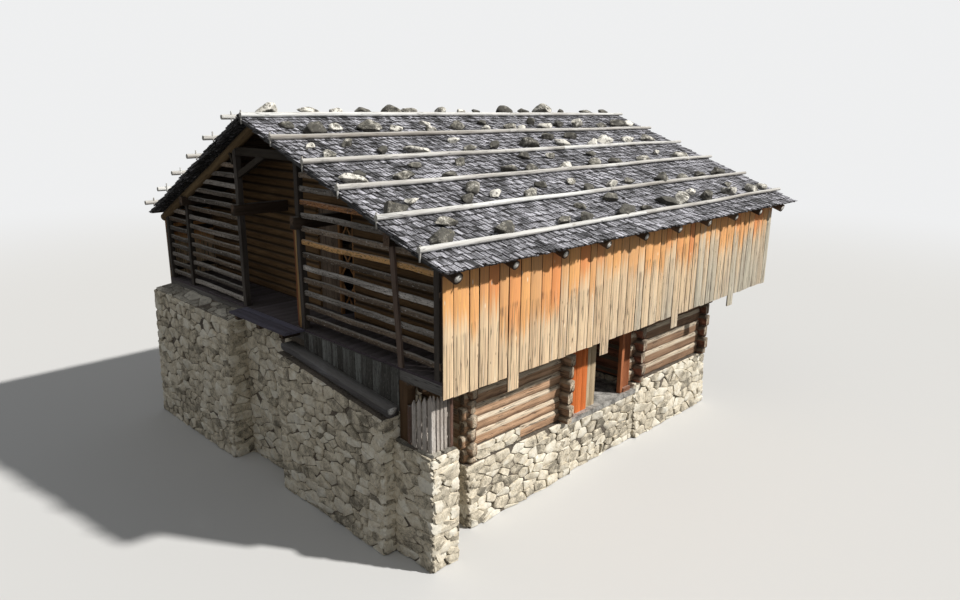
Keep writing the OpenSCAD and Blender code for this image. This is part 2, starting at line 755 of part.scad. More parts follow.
// Boards of one long side, from their low edge up between the rafters
board_count = round(house_l / board_w);
board_pitch = house_l / board_count;
long_first = 5;
long_every = 9;
module cladding(x0, low) {
    difference() {
        span([x0, 0, low], [x0 + clad_t, house_l, min(cover_under(x0), cover_under(x0 + clad_t))]);
        for (i = [0 : rafter_n - 1])
            rafter_notch(i, x0 + clad_t / 2);
    }
}
// Square hole in the boards for one rafter
notch_gap = 15;
function rafter_at(i) = gable_y + i * rafter_pitch;
function rafter_dia(i) = i == 0 || i == rafter_n - 1 ? gable_rafter_d : rafter_d;
module rafter_notch(i, x) {
    d = rafter_dia(i);
    half = d / 2 / cos(pitch_at(x)) + notch_gap;
    span([x - clad_t, rafter_at(i) - d / 2 - notch_gap, axis_z(x, d) - half],
         [x + clad_t, rafter_at(i) + d / 2 + notch_gap, ridge_z]);
}
module cladding_east() color("sandybrown") place() {
    low = floor_z - clad_drop;
    cladding(-clad_t, low);
    for (b = [long_first : long_every : board_count - 1])
        span([-clad_t, b * board_pitch, low - long_drop], [0, (b + 1) * board_pitch, low]);
}
module cladding_west() color("sandybrown") place() cladding(-house_w, wall_top);

// Long timbers of the roof

module eave_plates() color("saddlebrown") place()
    for (s = [0, 1]) {
        xc = s ? plate_w_x : plate_e;
        top = s ? eave_plate_top_w : eave_plate_top_e;
        span([xc - post_w / 2, post_w, top - plate_h], [xc + post_w / 2, back_y - post_w, top]);
    }
plate_front = -120;
module inner_plate_boxes(y0, y1)
    for (x = [door_a, door_b])
        span([x - plate_w / 2, y0, inner_plate_z], [x + plate_w / 2, y1, inner_plate_top]);
module inner_plates() color("saddlebrown") place() inner_plate_boxes(plate_front, back_y);
purlin_out = 500;
module ridge_purlin() color("saddlebrown") place() ridge_box(inner_y - purlin_out, back_y - post_w);
module ridge_box(y0, y1)
    span([-ridge_in - plate_w / 2, y0, ridge_plate_top - plate_h], [-ridge_in + plate_w / 2, y1, ridge_plate_top]);
module plate_boxes(y0, y1) {
    inner_plate_boxes(y0, y1);
    ridge_box(y0, y1);
}

// Posts along the inner plates, below them and on up to the rafters
loft_post_pitch = (rafter_n - 2) / (loft_post_n + 1);
module loft_posts() color("saddlebrown") place()
    for (k = [1 : loft_post_n], x = [door_a, door_b]) {
        y = rafter_at(1 + round(k * loft_post_pitch));
        span([x - post_w / 2, y - post_w / 2, floor_z], [x + post_w / 2, y + post_w / 2, inner_plate_z]);
        difference() {
            span([x - post_w / 2, y - post_w / 2, inner_plate_top],
                 [x + post_w / 2, y + post_w / 2, axis_z(x, rafter_d) - cope]);
            rafter_log(1, y, rafter_d);
            rafter_log(-1, y, rafter_d);
        }
    }

// Rafters of one slope, cut plumb at the ridge and seated on the plates
module rafter_set(side)
    for (i = [0 : rafter_n - 1])
        rafter_log(side, rafter_at(i), rafter_dia(i));
module rafters(side)
    difference() {
        rafter_set(side);
        if (side > 0) span([-house_w, -house_l, 0], [-ridge_in, 2 * house_l, 2 * ridge_z]);
        else span([-ridge_in, -house_l, 0], [house_w, 2 * house_l, 2 * ridge_z]);
        ridge_box(inner_y - purlin_out, back_y - post_w);
        for (s = [0, 1]) {
            xc = s ? plate_w_x : plate_e;
            top = s ? eave_plate_top_w : eave_plate_top_e;
            span([xc - post_w / 2, post_w, top - plate_h], [xc + post_w / 2, back_y - post_w, top]);
        }
    }
module rafters_east() color("tan") place() rafters(1);
module rafters_west() color("tan") place() rafters(-1);

// Covering of each slope, meeting on a plumb joint at the ridge
module slope(x_eave) {
    side = x_eave > -ridge_in ? 1 : -1;
    p = pitch_at(x_eave);
    prism_y(side > 0
            ? [[-ridge_in, cover_under(-ridge_in + 0.001)], [x_eave - cover_t * sin(p), cover_top(x_eave) - cover_t * cos(p)],
               [x_eave, cover_top(x_eave)], [-ridge_in, ridge_z]]
            : [[-ridge_in, cover_under(-ridge_in - 0.001)], [-ridge_in, ridge_z], [x_eave, cover_top(x_eave)],
               [x_eave + cover_t * sin(p), cover_top(x_eave) - cover_t * cos(p)]],
            -verge_front, back_y + verge_back);
}
module roof_east() color("darkgray") place() slope(eave_east);
module roof_west() color("darkgray") place() slope(-house_w - eave_west);

// Weighting poles: evenly spaced up the slope, each with a peg just before the verge
pole_first = 0.09;
pole_last_e = 0.975;
pole_last_w = 0.955;
module roof_poles(side, y_front, last) {
    x_eave = side > 0 ? eave_east : -house_w - eave_west;
    p = side > 0 ? pitch_east : pitch_west;
    for (i = [0 : pole_n - 1]) {
        f = pole_first + i * (last - pole_first) / (pole_n - 1);
        x = x_eave + f * (-ridge_in - x_eave);
        xa = x + side * pole_d / 2 * sin(p);
        za = cover_top(x) + pole_d / 2 * cos(p);
        translate([xa, y_front, za]) rotate([-90, 0, 0])
            cylinder(d = pole_d, h = back_y + verge_back + pole_out_back - y_front);
        peg_y = side > 0 ? y_front + peg_d / 2 + 8 : -verge_front - peg_d / 2 - 12;
        translate([xa, peg_y, za - peg_l * (side > 0 ? 0.85 : 0.45)])
            cylinder(d = peg_d, h = peg_l * (side > 0 ? 1.25 : 1));
    }
}
module roof_poles_east() color("ivory") place() roof_poles(1, -verge_front - pole_out_east, pole_last_e);
module roof_poles_west() color("ivory") place() roof_poles(-1, -verge_front - pole_out_west, pole_last_w);

rubble_wall_west();
rubble_wall_south();
rubble_apron();
rubble_wall_north();
rubble_base_near_room();
rubble_base_far_room();
rubble_corner_pier();
passage_base();
passage_floor();
near_room_wall_east();
near_room_wall_west();
near_room_wall_south();
near_room_wall_north();
far_room_wall_east();
far_room_wall_west();
far_room_wall_south();
far_room_wall_north();
passage_boards();
passage_posts();
passage_sill();
floor_beams();
loft_floor();
corner_prop();
bridge_planks();
bridge_bearers();
front_posts();
front_rails_west();
front_rails_east();
leaning_post();
door_jambs();
door_braces();
skirt_boards();
skirt_log();
picket_screen();
inner_log_wall();
inner_board_panel();
inner_lattice();
back_posts();
back_rails();
side_posts();
side_girts();
cladding_east();
cladding_west();
eave_plates();
inner_plates();
wing_plates();
loft_posts();
ridge_purlin();
rafters_east();
rafters_west();
roof_east();
roof_west();
roof_poles_east();
roof_poles_west();
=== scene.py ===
"""Finish of an alpine hay barn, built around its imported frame: shingles, stones, boards, logs."""

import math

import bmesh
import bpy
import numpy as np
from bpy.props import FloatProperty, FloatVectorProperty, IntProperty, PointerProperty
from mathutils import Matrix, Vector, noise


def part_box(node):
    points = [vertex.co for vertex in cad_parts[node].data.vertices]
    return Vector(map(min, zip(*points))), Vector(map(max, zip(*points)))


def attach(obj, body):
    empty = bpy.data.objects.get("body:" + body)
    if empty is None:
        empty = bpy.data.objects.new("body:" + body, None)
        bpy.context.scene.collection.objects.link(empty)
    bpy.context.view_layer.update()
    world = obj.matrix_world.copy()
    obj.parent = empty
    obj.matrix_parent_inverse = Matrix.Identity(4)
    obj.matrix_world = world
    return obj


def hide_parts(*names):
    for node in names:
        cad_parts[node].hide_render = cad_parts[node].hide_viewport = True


bl_info = {
    "name": "Alpine hay barn",
    "version": (1, 0, 0),
    "blender": (4, 5, 0),
    "location": "3D View > Sidebar > Barn",
    "description": "Shingle roof with stones and poles, clad and slatted loft, log and rubble storey",
    "category": "Add Mesh",
}

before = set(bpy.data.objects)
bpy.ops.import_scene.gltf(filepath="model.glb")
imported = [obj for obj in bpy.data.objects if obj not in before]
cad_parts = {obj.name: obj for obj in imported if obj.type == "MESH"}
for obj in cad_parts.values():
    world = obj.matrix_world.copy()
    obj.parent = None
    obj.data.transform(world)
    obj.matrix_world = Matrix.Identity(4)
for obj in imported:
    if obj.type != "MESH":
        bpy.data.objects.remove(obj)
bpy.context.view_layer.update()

# Metres within which two corners count as level
LEVEL = 0.01

UP = Vector((0, 0, 1))
ALONG_X = Vector((1, 0, 0))
ALONG_Y = Vector((0, 1, 0))


# Sizes and colours a user would change

def length(name, description, default, low=0.0, high=20.0):
    """A length property in metres."""
    return FloatProperty(name=name, description=description, default=default, min=low, max=high,
                         unit="LENGTH", precision=3)


def tint(name, description, default):
    """A colour property, in linear values."""
    return FloatVectorProperty(name=name, description=description, default=default, min=0.0, max=1.0,
                               size=3, subtype="COLOR")


def plain(name, description, default):
    """A property whose unit is in its description, if it has one."""
    return FloatProperty(name=name, description=description, default=default)


def whole(name, description, default, high=1000):
    """A whole number."""
    return IntProperty(name=name, description=description, default=default, min=0, max=high)


class BARN_PG_roof(bpy.types.PropertyGroup):
    """Sizes of what lies on the two slopes."""

    exposure: length("Exposure", "What shows of a shingle along the slope", 0.205)
    shingle_width: length("Shingle width", "Mean width of a shingle", 0.094)
    shingle_length: length("Shingle length", "Length of a shingle", 0.46)
    shingle_thickness: length("Shingle thickness", "Thickness at the butt", 0.021)
    eave_reach: length("Eave reach", "Reach of the lowest shingles past the eave", 0.03)
    batten_pitch: length("Batten pitch", "Spacing of the battens under the shingles", 0.34)
    pole_girth: length("Pole thickness", "Mean thickness of a weighting pole", 0.100)
    west_stones: whole("Uphill stones", "Stones on each row of the uphill slope", 13, 40)
    seed: whole("Seed", "Seed of everything uneven on the roof", 5)


class BARN_PG_walls(bpy.types.PropertyGroup):
    """Sizes of boards, planks and rubble."""

    board_low: length("Narrowest board", "Smallest width of a cladding board", 0.20)
    board_high: length("Widest board", "Largest width of a cladding board", 0.37)
    board_gap: length("Board gap", "Gap between two cladding boards", 0.014)
    uphill_gap: length("Uphill board gap", "Gap between two boards of the uphill side", 0.002)
    plank_width: length("Plank width", "Mean width of a floor plank", 0.26)
    rubble_size: length("Rubble stone", "Mean width of a rubble stone", 0.33)
    joint: length("Joint", "Width of the joints in the rubble", 0.020)
    seed: whole("Seed", "Seed of everything uneven on the walls", 11)


class BARN_PG_colours(bpy.types.PropertyGroup):
    """Main colours, as linear values."""

    sunburnt: tint("Sunburnt board", "Upper end of the cladding", (1.0, 0.465, 0.175))
    tan_board: tint("Tan board", "Middle of the cladding", (0.93, 0.685, 0.45))
    silver_board: tint("Silver board", "Weathered end of the cladding", (0.54, 0.51, 0.425))
    shingle: tint("Shingle", "Middle grey of the shingles", (0.195, 0.194, 0.212))
    peeled: tint("Peeled pole", "Pale wood of the weighting poles", (0.545, 0.525, 0.49))
    old_brown: tint("Old brown wood", "Posts, plates and rafters", (0.070, 0.047, 0.032))
    old_grey: tint("Old grey wood", "Rails, pickets and planks", (0.18, 0.165, 0.15))
    hewn: tint("Hewn log", "Faces of the stable logs", (0.43, 0.27, 0.165))
    limestone: tint("Rubble", "Middle tone of the rubble", (0.76, 0.675, 0.52))
    field_stone: tint("Roof stone", "Middle tone of the stones on the roof", (0.28, 0.265, 0.225))
    floor: tint("Floor", "Plain floor", (0.70, 0.70, 0.69))


class BARN_PG_stage(bpy.types.PropertyGroup):
    """Camera and lights."""

    lens: plain("Lens", "Focal length in mm on a 36 mm film", 27.0)
    yaw: plain("Yaw", "Turn of the camera round the barn, in degrees", 44.6)
    pitch: plain("Pitch", "Tilt of the camera below the horizon, in degrees", 15.0)
    roll: plain("Roll", "Roll of the camera, in degrees", 0.5)
    sun: plain("Key light", "Strength of the key light", 4.05)
    sky: plain("Fill light", "Strength of the even light", 0.26)


# Node trees

class Wire:
    """An output in a node tree. Its operators add Math nodes."""

    def __init__(self, plan, socket):
        self.plan = plan
        self.socket = socket

    def __add__(self, other):
        return self.plan.math("ADD", self, other)

    def __sub__(self, other):
        return self.plan.math("SUBTRACT", self, other)

    def __rsub__(self, other):
        return self.plan.math("SUBTRACT", other, self)

    def __mul__(self, other):
        return self.plan.math("MULTIPLY", self, other)

    def __truediv__(self, other):
        return self.plan.math("DIVIDE", self, other)

    def __abs__(self):
        return self.plan.math("ABSOLUTE", self)

    __radd__ = __add__
    __rmul__ = __mul__


class Plan:
    """Builds the nodes of one tree."""

    def __init__(self, tree):
        self.tree = tree

    def put(self, socket, value):
        """Links a wire to a socket, or sets the socket's own value."""
        if isinstance(value, Wire):
            self.tree.links.new(value.socket, socket)
        elif socket.type == "RGBA" and len(value) == 3:
            socket.default_value = (*value, 1.0)
        else:
            socket.default_value = value

    def node(self, kind, settings=None, sockets=None, output=0):
        """Adds a node: its settings first, then its sockets by name or number."""
        made = self.tree.nodes.new(kind)
        for key, value in (settings or {}).items():
            if key == "stops":
                self.set_stops(made.color_ramp, value)
            else:
                setattr(made, key, value)
        for key, value in (sockets or {}).items():
            self.put(made.inputs[key], value)
        return Wire(self, made.outputs[output])

    def set_stops(self, ramp, stops):
        """Sets a ramp's positions and colours."""
        while len(ramp.elements) < len(stops):
            ramp.elements.new(1.0)
        for element, (position, colour) in zip(ramp.elements, stops):
            element.position = position
            element.color = (*colour, 1.0)

    def math(self, operation, *values):
        return self.node("ShaderNodeMath", {"operation": operation}, dict(enumerate(values)))

    def vector(self, x, y, z):
        return self.node("ShaderNodeCombineXYZ", sockets={0: x, 1: y, 2: z})

    def dot(self, wire, axis):
        """Part of a vector along a fixed axis."""
        return self.node("ShaderNodeVectorMath", {"operation": "DOT_PRODUCT"}, {0: wire, 1: tuple(axis)},
                         output="Value")

    def smooth(self, value, low, high):
        """Goes smoothly from 0 to 1 as value goes from low to high."""
        return self.node("ShaderNodeMapRange", {"interpolation_type": "SMOOTHSTEP"},
                         {"Value": value, "From Min": low, "From Max": high})


class Finish(Plan):
    """A material that reads Object coordinates and the tone carried by each made piece."""

    def __init__(self, name):
        self.material = bpy.data.materials.new(name)
        self.material.use_nodes = True
        super().__init__(self.material.node_tree)
        self.tree.nodes.clear()
        self.place = self.node("ShaderNodeTexCoord", output="Object")
        self.normal = self.node("ShaderNodeNewGeometry", output="Normal")
        self.tone = self.node("ShaderNodeAttribute", {"attribute_name": "tone"}, output="Fac")
        self.body = None

    def noise(self, vector, scale, detail=3.0, roughness=0.5):
        return self.node("ShaderNodeTexNoise", sockets={
            "Vector": vector, "Scale": scale, "Detail": detail, "Roughness": roughness})

    def cells(self, vector, scale):
        """Distance to the nearest point of a scatter."""
        return self.node("ShaderNodeTexVoronoi", sockets={"Vector": vector, "Scale": scale},
                         output="Distance")

    def ramp(self, factor, *stops):
        return self.node("ShaderNodeValToRGB", {"stops": stops}, {"Fac": factor}, output="Color")

    def mix(self, factor, first, second, blend="MIX"):
        """Colour that goes from first to second with factor."""
        return self.node("ShaderNodeMix", {"data_type": "RGBA", "blend_type": blend, "clamp_factor": True},
                         {0: factor, 6: first, 7: second}, output=2)

    def bump(self, height, strength, distance):
        return self.node("ShaderNodeBump",
                         sockets={"Height": height, "Strength": strength, "Distance": distance})

    def along(self, grain, slow, fine):
        """Coordinates drawn out along the grain, shifted for every piece by its tone."""
        grain = Vector(grain).normalized()
        side = ALONG_Y if abs(grain.y) < 0.5 else ALONG_X
        third = grain.cross(side).normalized()
        return self.vector(self.dot(self.place, grain) * slow + self.tone * 37.0,
                           self.dot(self.place, side) * fine + self.tone * 11.0,
                           self.dot(self.place, third) * fine)

    def drawn(self, grain, slow, fine, detail=3.0, roughness=0.6):
        """Noise drawn out along the grain."""
        return self.noise(self.along(grain, slow, fine), 1.0, detail, roughness)

    def checks(self, grain, slow, fine, width, roughness=0.4):
        """1 in the drying checks that run along the grain, 0 beside them."""
        return 1.0 - self.smooth(abs(self.drawn(grain, slow, fine, 2.0, roughness) - 0.5), 0.0, width)

    def dots(self, grain, slow, fine, inner, outer):
        """1 in the middle of scattered spots such as knots, 0 outside them."""
        return 1.0 - self.smooth(self.cells(self.along(grain, slow, fine), 1.0), inner, outer)

    def facing_up(self, low=0.15, high=0.9):
        """1 on faces that look up, 0 on walls and undersides. Limits below 0 are for undersides."""
        return self.smooth(self.dot(self.normal, UP), low, high)

    def cut_end(self, grain):
        """1 on faces cut across the grain."""
        return self.smooth(abs(self.dot(self.normal, Vector(grain).normalized())), 0.75, 0.9)

    def over(self, share, colour, blend="MIX"):
        """Lays a colour over what the material shows so far."""
        self.body = self.mix(share, self.body, colour, blend)

    def close(self, roughness, normal, gloss=0.5):
        """Adds the shader and the output, and gives back the material."""
        shader = self.node("ShaderNodeBsdfPrincipled", output="BSDF", sockets={
            "Base Color": self.body, "Roughness": roughness, "Specular IOR Level": gloss, "Normal": normal})
        self.node_output(shader)
        return self.material

    def node_output(self, shader):
        made = self.tree.nodes.new("ShaderNodeOutputMaterial")
        self.tree.links.new(shader.socket, made.inputs["Surface"])


# Colours worked out from the chosen ones

def shade(colour, factor, warm=0.0):
    """A colour made lighter or darker, and warmer or cooler."""
    red, green, blue = colour
    return tuple(min(1.0, max(0.0, c)) for c in (
        red * factor * (1 + warm), green * factor, blue * factor * (1 - warm)))


# Tones that stay the same whatever colours are chosen

SCORCHED = (0.86, 0.25, 0.075)
DARK_RUN = (0.15, 0.105, 0.075)
PALE_RUN = (0.74, 0.68, 0.57)
KNOT = (0.20, 0.10, 0.045)
# Painted highlight: bright spots standing for glints of resin on the boards
PAINTED_RESIN_GLINT = (1.0, 0.84, 0.62)
BOARD_CHECK = (0.045, 0.028, 0.018)
# Painted shade on the sides of the cladding boards
BOARD_SIDE_SHADE = (0.040, 0.024, 0.014)
MOSS = (0.050, 0.046, 0.040)
# Painted shade on the butts and sides of shingles, and on their covered part seen in the gaps
SHINGLE_BUTT_SHADE = (0.018, 0.014, 0.012)
SHINGLE_LAP_SHADE = (0.010, 0.009, 0.008)
SHINGLE_CHECK = (0.008, 0.007, 0.006)
DARK_LICHEN = (0.050, 0.045, 0.036)
YELLOW_LICHEN = (0.46, 0.42, 0.20)
# Painted shade on the undersides of stones
STONE_UNDERSIDE_SHADE = (0.040, 0.036, 0.030)
JOINT_EARTH = (0.040, 0.033, 0.026)
JOINT_LIME = (0.21, 0.175, 0.135)
WORN_EDGE = ((0.3, (0.40, 0.30, 0.20)), (0.48, (0.72, 0.60, 0.44)), (0.66, (0.94, 0.86, 0.70)))
LOG_CHECK = (0.055, 0.032, 0.022)


# Finishes

def wood(name, grain, colour, contrast=1.9, top_bleach_and_light=0.25, bleached_and_lit=(0.5, 0.48, 0.44), ends=None,
         check=0.75, knots=0.0, pits=0.0, bump=0.006, spread=0.35, warm=None, seam_shading=None, bands=()):
    """Old wood: streaks and fibres along the grain, drying checks, paler tops from bleaching and painted
    light, cut ends.

    Pits are small dark spots with pale wood between them. Some pieces can lean to a warm colour.
    Seam shading (foot, course) darkens the joints of a log wall and paints shade over the rounded
    parts of each log next to them, and bands (axis, low, high, colour) give single timbers a colour
    of their own, or painted sunlight on two rails."""
    f = Finish(name)
    streak = f.drawn(grain, 0.45, 8.0, 4.0)
    fibre = f.drawn(grain, 2.2, 85.0)
    patch = f.noise(f.place, 0.8, 3.0)
    value = streak * 0.75 + fibre * 0.45 + (patch - 0.5) * 0.35 + (f.tone - 0.5) * spread - 0.1
    f.body = f.ramp(value, (0.24, shade(colour, 1 / contrast, 0.06)), (0.5, colour),
                    (0.78, shade(colour, contrast, -0.05)))
    if warm:
        other = f.math("FRACT", f.tone * 7.0)
        f.over(f.smooth(other, 0.45, 0.8) * 0.75,
               f.ramp(value, (0.3, shade(warm, 0.5)), (0.75, shade(warm, 1.7))))
    for axis, low, high, tinted in bands:
        place = f.dot(f.place, axis)
        inside = f.smooth(place, low - 0.01, low) * f.smooth(place, high + 0.01, high)
        f.over(inside * 0.9, f.ramp(value, (0.3, shade(tinted, 0.45)), (0.7, shade(tinted, 1.5))))
    # Dark joints of a log wall, with painted shade that rounds each log towards them.
    if seam_shading:
        foot, course = seam_shading
        part = f.math("FRACT", (f.dot(f.place, UP) - foot) / course)
        f.over(f.smooth(abs(part - 0.5), 0.20, 0.47) * 0.9, shade(colour, 0.12))
    open_check = f.checks(grain, 0.7, 24.0, 0.018)
    f.over(open_check * check, shade(colour, 0.25))
    if pits:
        pit = f.drawn(grain, 13.0, 42.0, 3.0, 0.7)
        f.over(f.smooth(pit, 0.54, 0.64) * pits, shade(colour, 0.15))
        f.over(f.smooth(pit, 0.40, 0.30) * pits * 0.7, shade(colour, contrast * 1.5))
    if knots:
        f.over(f.dots(grain, 1.1, 4.2, 0.03, 0.10) * knots, shade(colour, 0.4, 0.2))
    # Paler faces that look up: partly weathered wood, partly painted light from above.
    f.over(f.facing_up() * top_bleach_and_light, bleached_and_lit)
    cut = f.cut_end(grain)
    ring = f.noise(f.place, 38.0, 4.0, 0.7)
    end_colour = ends or shade(colour, 1.4)
    f.over(cut, f.ramp(ring, (0.34, shade(end_colour, 0.3)), (0.52, end_colour)))
    height = fibre * 0.35 + streak * 0.5 - open_check * 0.8 + cut * ring * 0.6
    return f.close(0.82, f.bump(height, 0.8, bump), 0.22)


def weathered_boards(name, near, far, low, high, colours):
    """Cladding that goes from orange under the eave to silver at its foot and its far end."""
    f = Finish(name)
    streak = f.drawn(UP, 0.35, 14.0, 4.0)
    fibre = f.drawn(UP, 1.8, 95.0)
    blotch = f.noise(f.place, 0.55, 2.0)
    distance = (f.dot(f.place, ALONG_Y) - near) / (far - near)
    level = (f.dot(f.place, UP) - low) / (high - low)
    uneven = (streak - 0.5) * 1.0 + (f.tone - 0.5) * 0.55 + (blotch - 0.5) * 0.6
    sun = level * 1.65 - distance * 0.46 + uneven - 0.26
    orange_share = f.smooth(sun, 0.42, 0.86)
    silver_share = f.smooth(distance - level * 0.45 - uneven * 0.7, 0.25, 0.80)
    f.body = f.mix(silver_share, tuple(colours.tan_board), tuple(colours.silver_board))
    f.over(orange_share, tuple(colours.sunburnt))
    f.over(f.smooth(fibre, 0.35, 0.75) * 0.45, shade(colours.tan_board, 1.28), "SOFT_LIGHT")
    f.over(f.smooth(fibre, 0.58, 0.40) * 0.34, shade(colours.tan_board, 0.36, 0.12))
    dull = f.smooth(f.math("FRACT", f.tone * 13.0), 0.55, 0.95)
    f.over(dull * 0.30, shade(colours.tan_board, 0.55, 0.14))
    burnt = f.smooth(f.math("FRACT", f.tone * 5.0), 0.55, 0.9) * f.smooth(sun, 0.55, 0.95)
    f.over(burnt * 0.55, SCORCHED)
    worn_height = 0.55 + distance * 0.34 + (f.tone - 0.5) * 0.16
    worn = f.smooth(level - worn_height, 0.02, -0.02)
    stain = f.smooth(f.drawn(UP, 0.5, 30.0, 3.0, 0.55), 0.57, 0.63) * (worn * 0.9 + 0.05)
    f.over(stain * 0.75, DARK_RUN)
    washed = f.smooth(f.drawn(UP, 0.8, 21.0, 2.0, 0.5), 0.60, 0.74) * f.smooth(level, 0.95, 0.2)
    f.over(washed * 0.6, PALE_RUN)
    knot = f.dots(UP, 2.1, 6.2, 0.035, 0.085)
    f.over(knot * 0.75, KNOT)
    # Painted highlight: bright spots for glints of resin
    f.over(f.dots(UP, 1.7, 5.1, 0.03, 0.12) * 0.85, PAINTED_RESIN_GLINT)
    open_check = f.checks(UP, 0.45, 17.0, 0.020) * (worn * 0.9 + 0.1)
    f.over(open_check * 0.9, BOARD_CHECK)
    # Painted shade on the sides of the boards, which makes the gaps between them dark.
    side = f.smooth(abs(f.dot(f.normal, ALONG_Y)), 0.5, 0.8)
    f.over(side * 0.85, BOARD_SIDE_SHADE)
    height = fibre * 0.35 + streak * 0.3 - open_check * 0.9 - knot * 0.2
    return f.close(0.8, f.bump(height, 0.7, 0.005))


# Part of a shingle's length at which the next course starts to cover it, and painted shade starts on what
# shows of it in the gaps
COVERED = (0.47, 0.54)


def shingle_finish(name, grain, colour):
    """Split shingles: silver grey, each with a tone of its own, with moss; painted shade on the butts and
    sides and on the covered part seen in the gaps.
    """
    f = Finish(name)
    fibre = f.drawn(grain, 3.0, 110.0)
    streak = f.drawn(grain, 1.2, 26.0)
    patch = f.noise(f.place, 1.6, 4.0, 0.6)
    value = f.tone * 0.36 + streak * 0.84 + fibre * 0.44 + (patch - 0.5) * 0.8 - 0.295
    f.body = f.ramp(value, (0.22, shade(colour, 0.06)), (0.38, shade(colour, 0.46)),
                    (0.55, shade(colour, 1.60)), (0.78, shade(colour, 3.5)))
    moss = f.noise(f.place, 5.0, 5.0, 0.7)
    f.over(f.smooth(moss, 0.60, 0.72) * 0.55, MOSS)
    # Painted shade on the butts and sides of the shingles
    butt = f.smooth(abs(f.dot(f.normal, UP)), 0.55, 0.2)
    f.over(butt * 0.85, SHINGLE_BUTT_SHADE)
    # Painted shade on the covered part of each shingle, seen in the gaps
    reach = f.node("ShaderNodeAttribute", {"attribute_name": "reach"}, output="Fac")
    f.over(f.smooth(reach, *COVERED) * 0.9, SHINGLE_LAP_SHADE)
    open_check = f.checks(grain, 1.5, 40.0, 0.032, 0.5)
    f.over(open_check * 0.9, SHINGLE_CHECK)
    height = fibre * 0.5 + streak * 0.4 - open_check * 0.8
    return f.close(0.72, f.bump(height, 0.8, 0.005))


def stone(name, colour, pale, lichen=0.5, spread=0.9, mottle=1.0):
    """Field stone: broken tones from stone to stone, mottled inside each, lichen spots and grit, and
    painted shade on the undersides.
    """
    f = Finish(name)
    shift = f.node("ShaderNodeVectorMath", {"operation": "ADD"},
                   {0: f.place, 1: f.vector(f.tone * 53.0, f.tone * 29.0, 0.0)}, output="Vector")
    cloud = f.noise(shift, 1.2 + 2.4 * mottle, 5.0, 0.62)
    grit = f.noise(shift, 34.0, 5.0, 0.7)
    value = (f.tone - 0.5) * spread + (cloud - 0.5) * 1.1 * mottle + (grit - 0.5) * 0.7 * mottle + 0.5
    f.body = f.ramp(value, (0.20, shade(colour, 0.30)), (0.48, colour), (0.78, pale))
    spots = f.cells(shift, 22.0)
    patches = f.noise(shift, 5.0 + 3.0 * mottle, 4.0, 0.65)
    dark = f.smooth(patches, 0.52, 0.62)
    f.over(dark * lichen, DARK_LICHEN)
    # Painted shade on faces that look down, as strong as the lichen
    under = f.facing_up(0.10, -0.35)
    f.over(under * lichen * 0.8, STONE_UNDERSIDE_SHADE)
    yellow = (1.0 - f.smooth(spots, 0.10, 0.22)) * f.smooth(patches, 0.48, 0.40)
    f.over(yellow * lichen * 0.7, YELLOW_LICHEN)
    height = cloud * 0.9 + grit * 0.35
    return f.close(0.88, f.bump(height, 0.85, 0.016))


def mortar(name):
    """Earth and lime in the depth of the joints."""
    f = Finish(name)
    grit = f.noise(f.place, 24.0, 5.0, 0.7)
    cloud = f.noise(f.place, 2.4, 4.0)
    f.body = f.ramp(grit * 0.6 + cloud * 0.4, (0.36, JOINT_EARTH), (0.62, JOINT_LIME))
    return f.close(0.95, f.bump(grit, 0.9, 0.02))


def hewn_log(name, grain, colour, foot, course, ends, pale=1.0):
    """Stable logs: red-brown faces, pale worn upper edges along every course, dark seam lines, and painted
    shade on faces that look down.
    """
    f = Finish(name)
    streak = f.drawn(grain, 0.4, 10.0, 4.0)
    fibre = f.drawn(grain, 1.9, 70.0)
    patch = f.noise(f.place, 1.1, 3.0)
    value = streak * 0.8 + fibre * 0.4 + (f.tone - 0.5) * 0.2 + (patch - 0.5) * 0.5 - 0.1
    f.body = f.ramp(value, (0.28, shade(colour, 0.34, 0.14)), (0.46, colour),
                    (0.62, shade(colour, 1.5, -0.03)), (0.82, shade(colour, 2.1, -0.10)))
    wave = f.drawn(grain, 0.9, 1.5, 3.0, 0.5)
    part = f.math("FRACT", (f.dot(f.place, UP) - foot) / course + (wave - 0.5) * 0.22)
    worn = f.smooth(part, 0.60, 0.72) * f.smooth(part, 1.0, 0.95)
    up = f.math("MAXIMUM", f.facing_up(0.15, 0.5), worn)
    edge = f.ramp(fibre * 0.6 + streak * 0.4, *((place, shade(tone, pale)) for place, tone in WORN_EDGE))
    f.over(up * 0.88, edge)
    # Painted shade on faces that look down, together with the dark seam at the foot of each course.
    down = f.facing_up(-0.10, -0.45)
    seam = f.smooth(part, 0.10, 0.02)
    f.over(f.math("MAXIMUM", down * 0.6, seam * 0.85), shade(colour, 0.13, 0.1))
    open_check = f.checks(grain, 0.5, 19.0, 0.02)
    f.over(open_check * 0.85, LOG_CHECK)
    cut = f.cut_end(grain)
    ring = f.noise(f.place, 30.0, 4.0, 0.7)
    f.over(cut, f.ramp(ring, (0.36, shade(ends, 0.25)), (0.56, ends), (0.8, shade(ends, 1.3))))
    height = fibre * 0.35 + streak * 0.55 - open_check * 1.1
    return f.close(0.82, f.bump(height, 0.85, 0.010))


# Metres from the barn between which the floor passes into the backdrop, and its tone in bounced light
FLOOR_FADE = (20.0, 55.0)
FLOOR_BOUNCE = 0.24


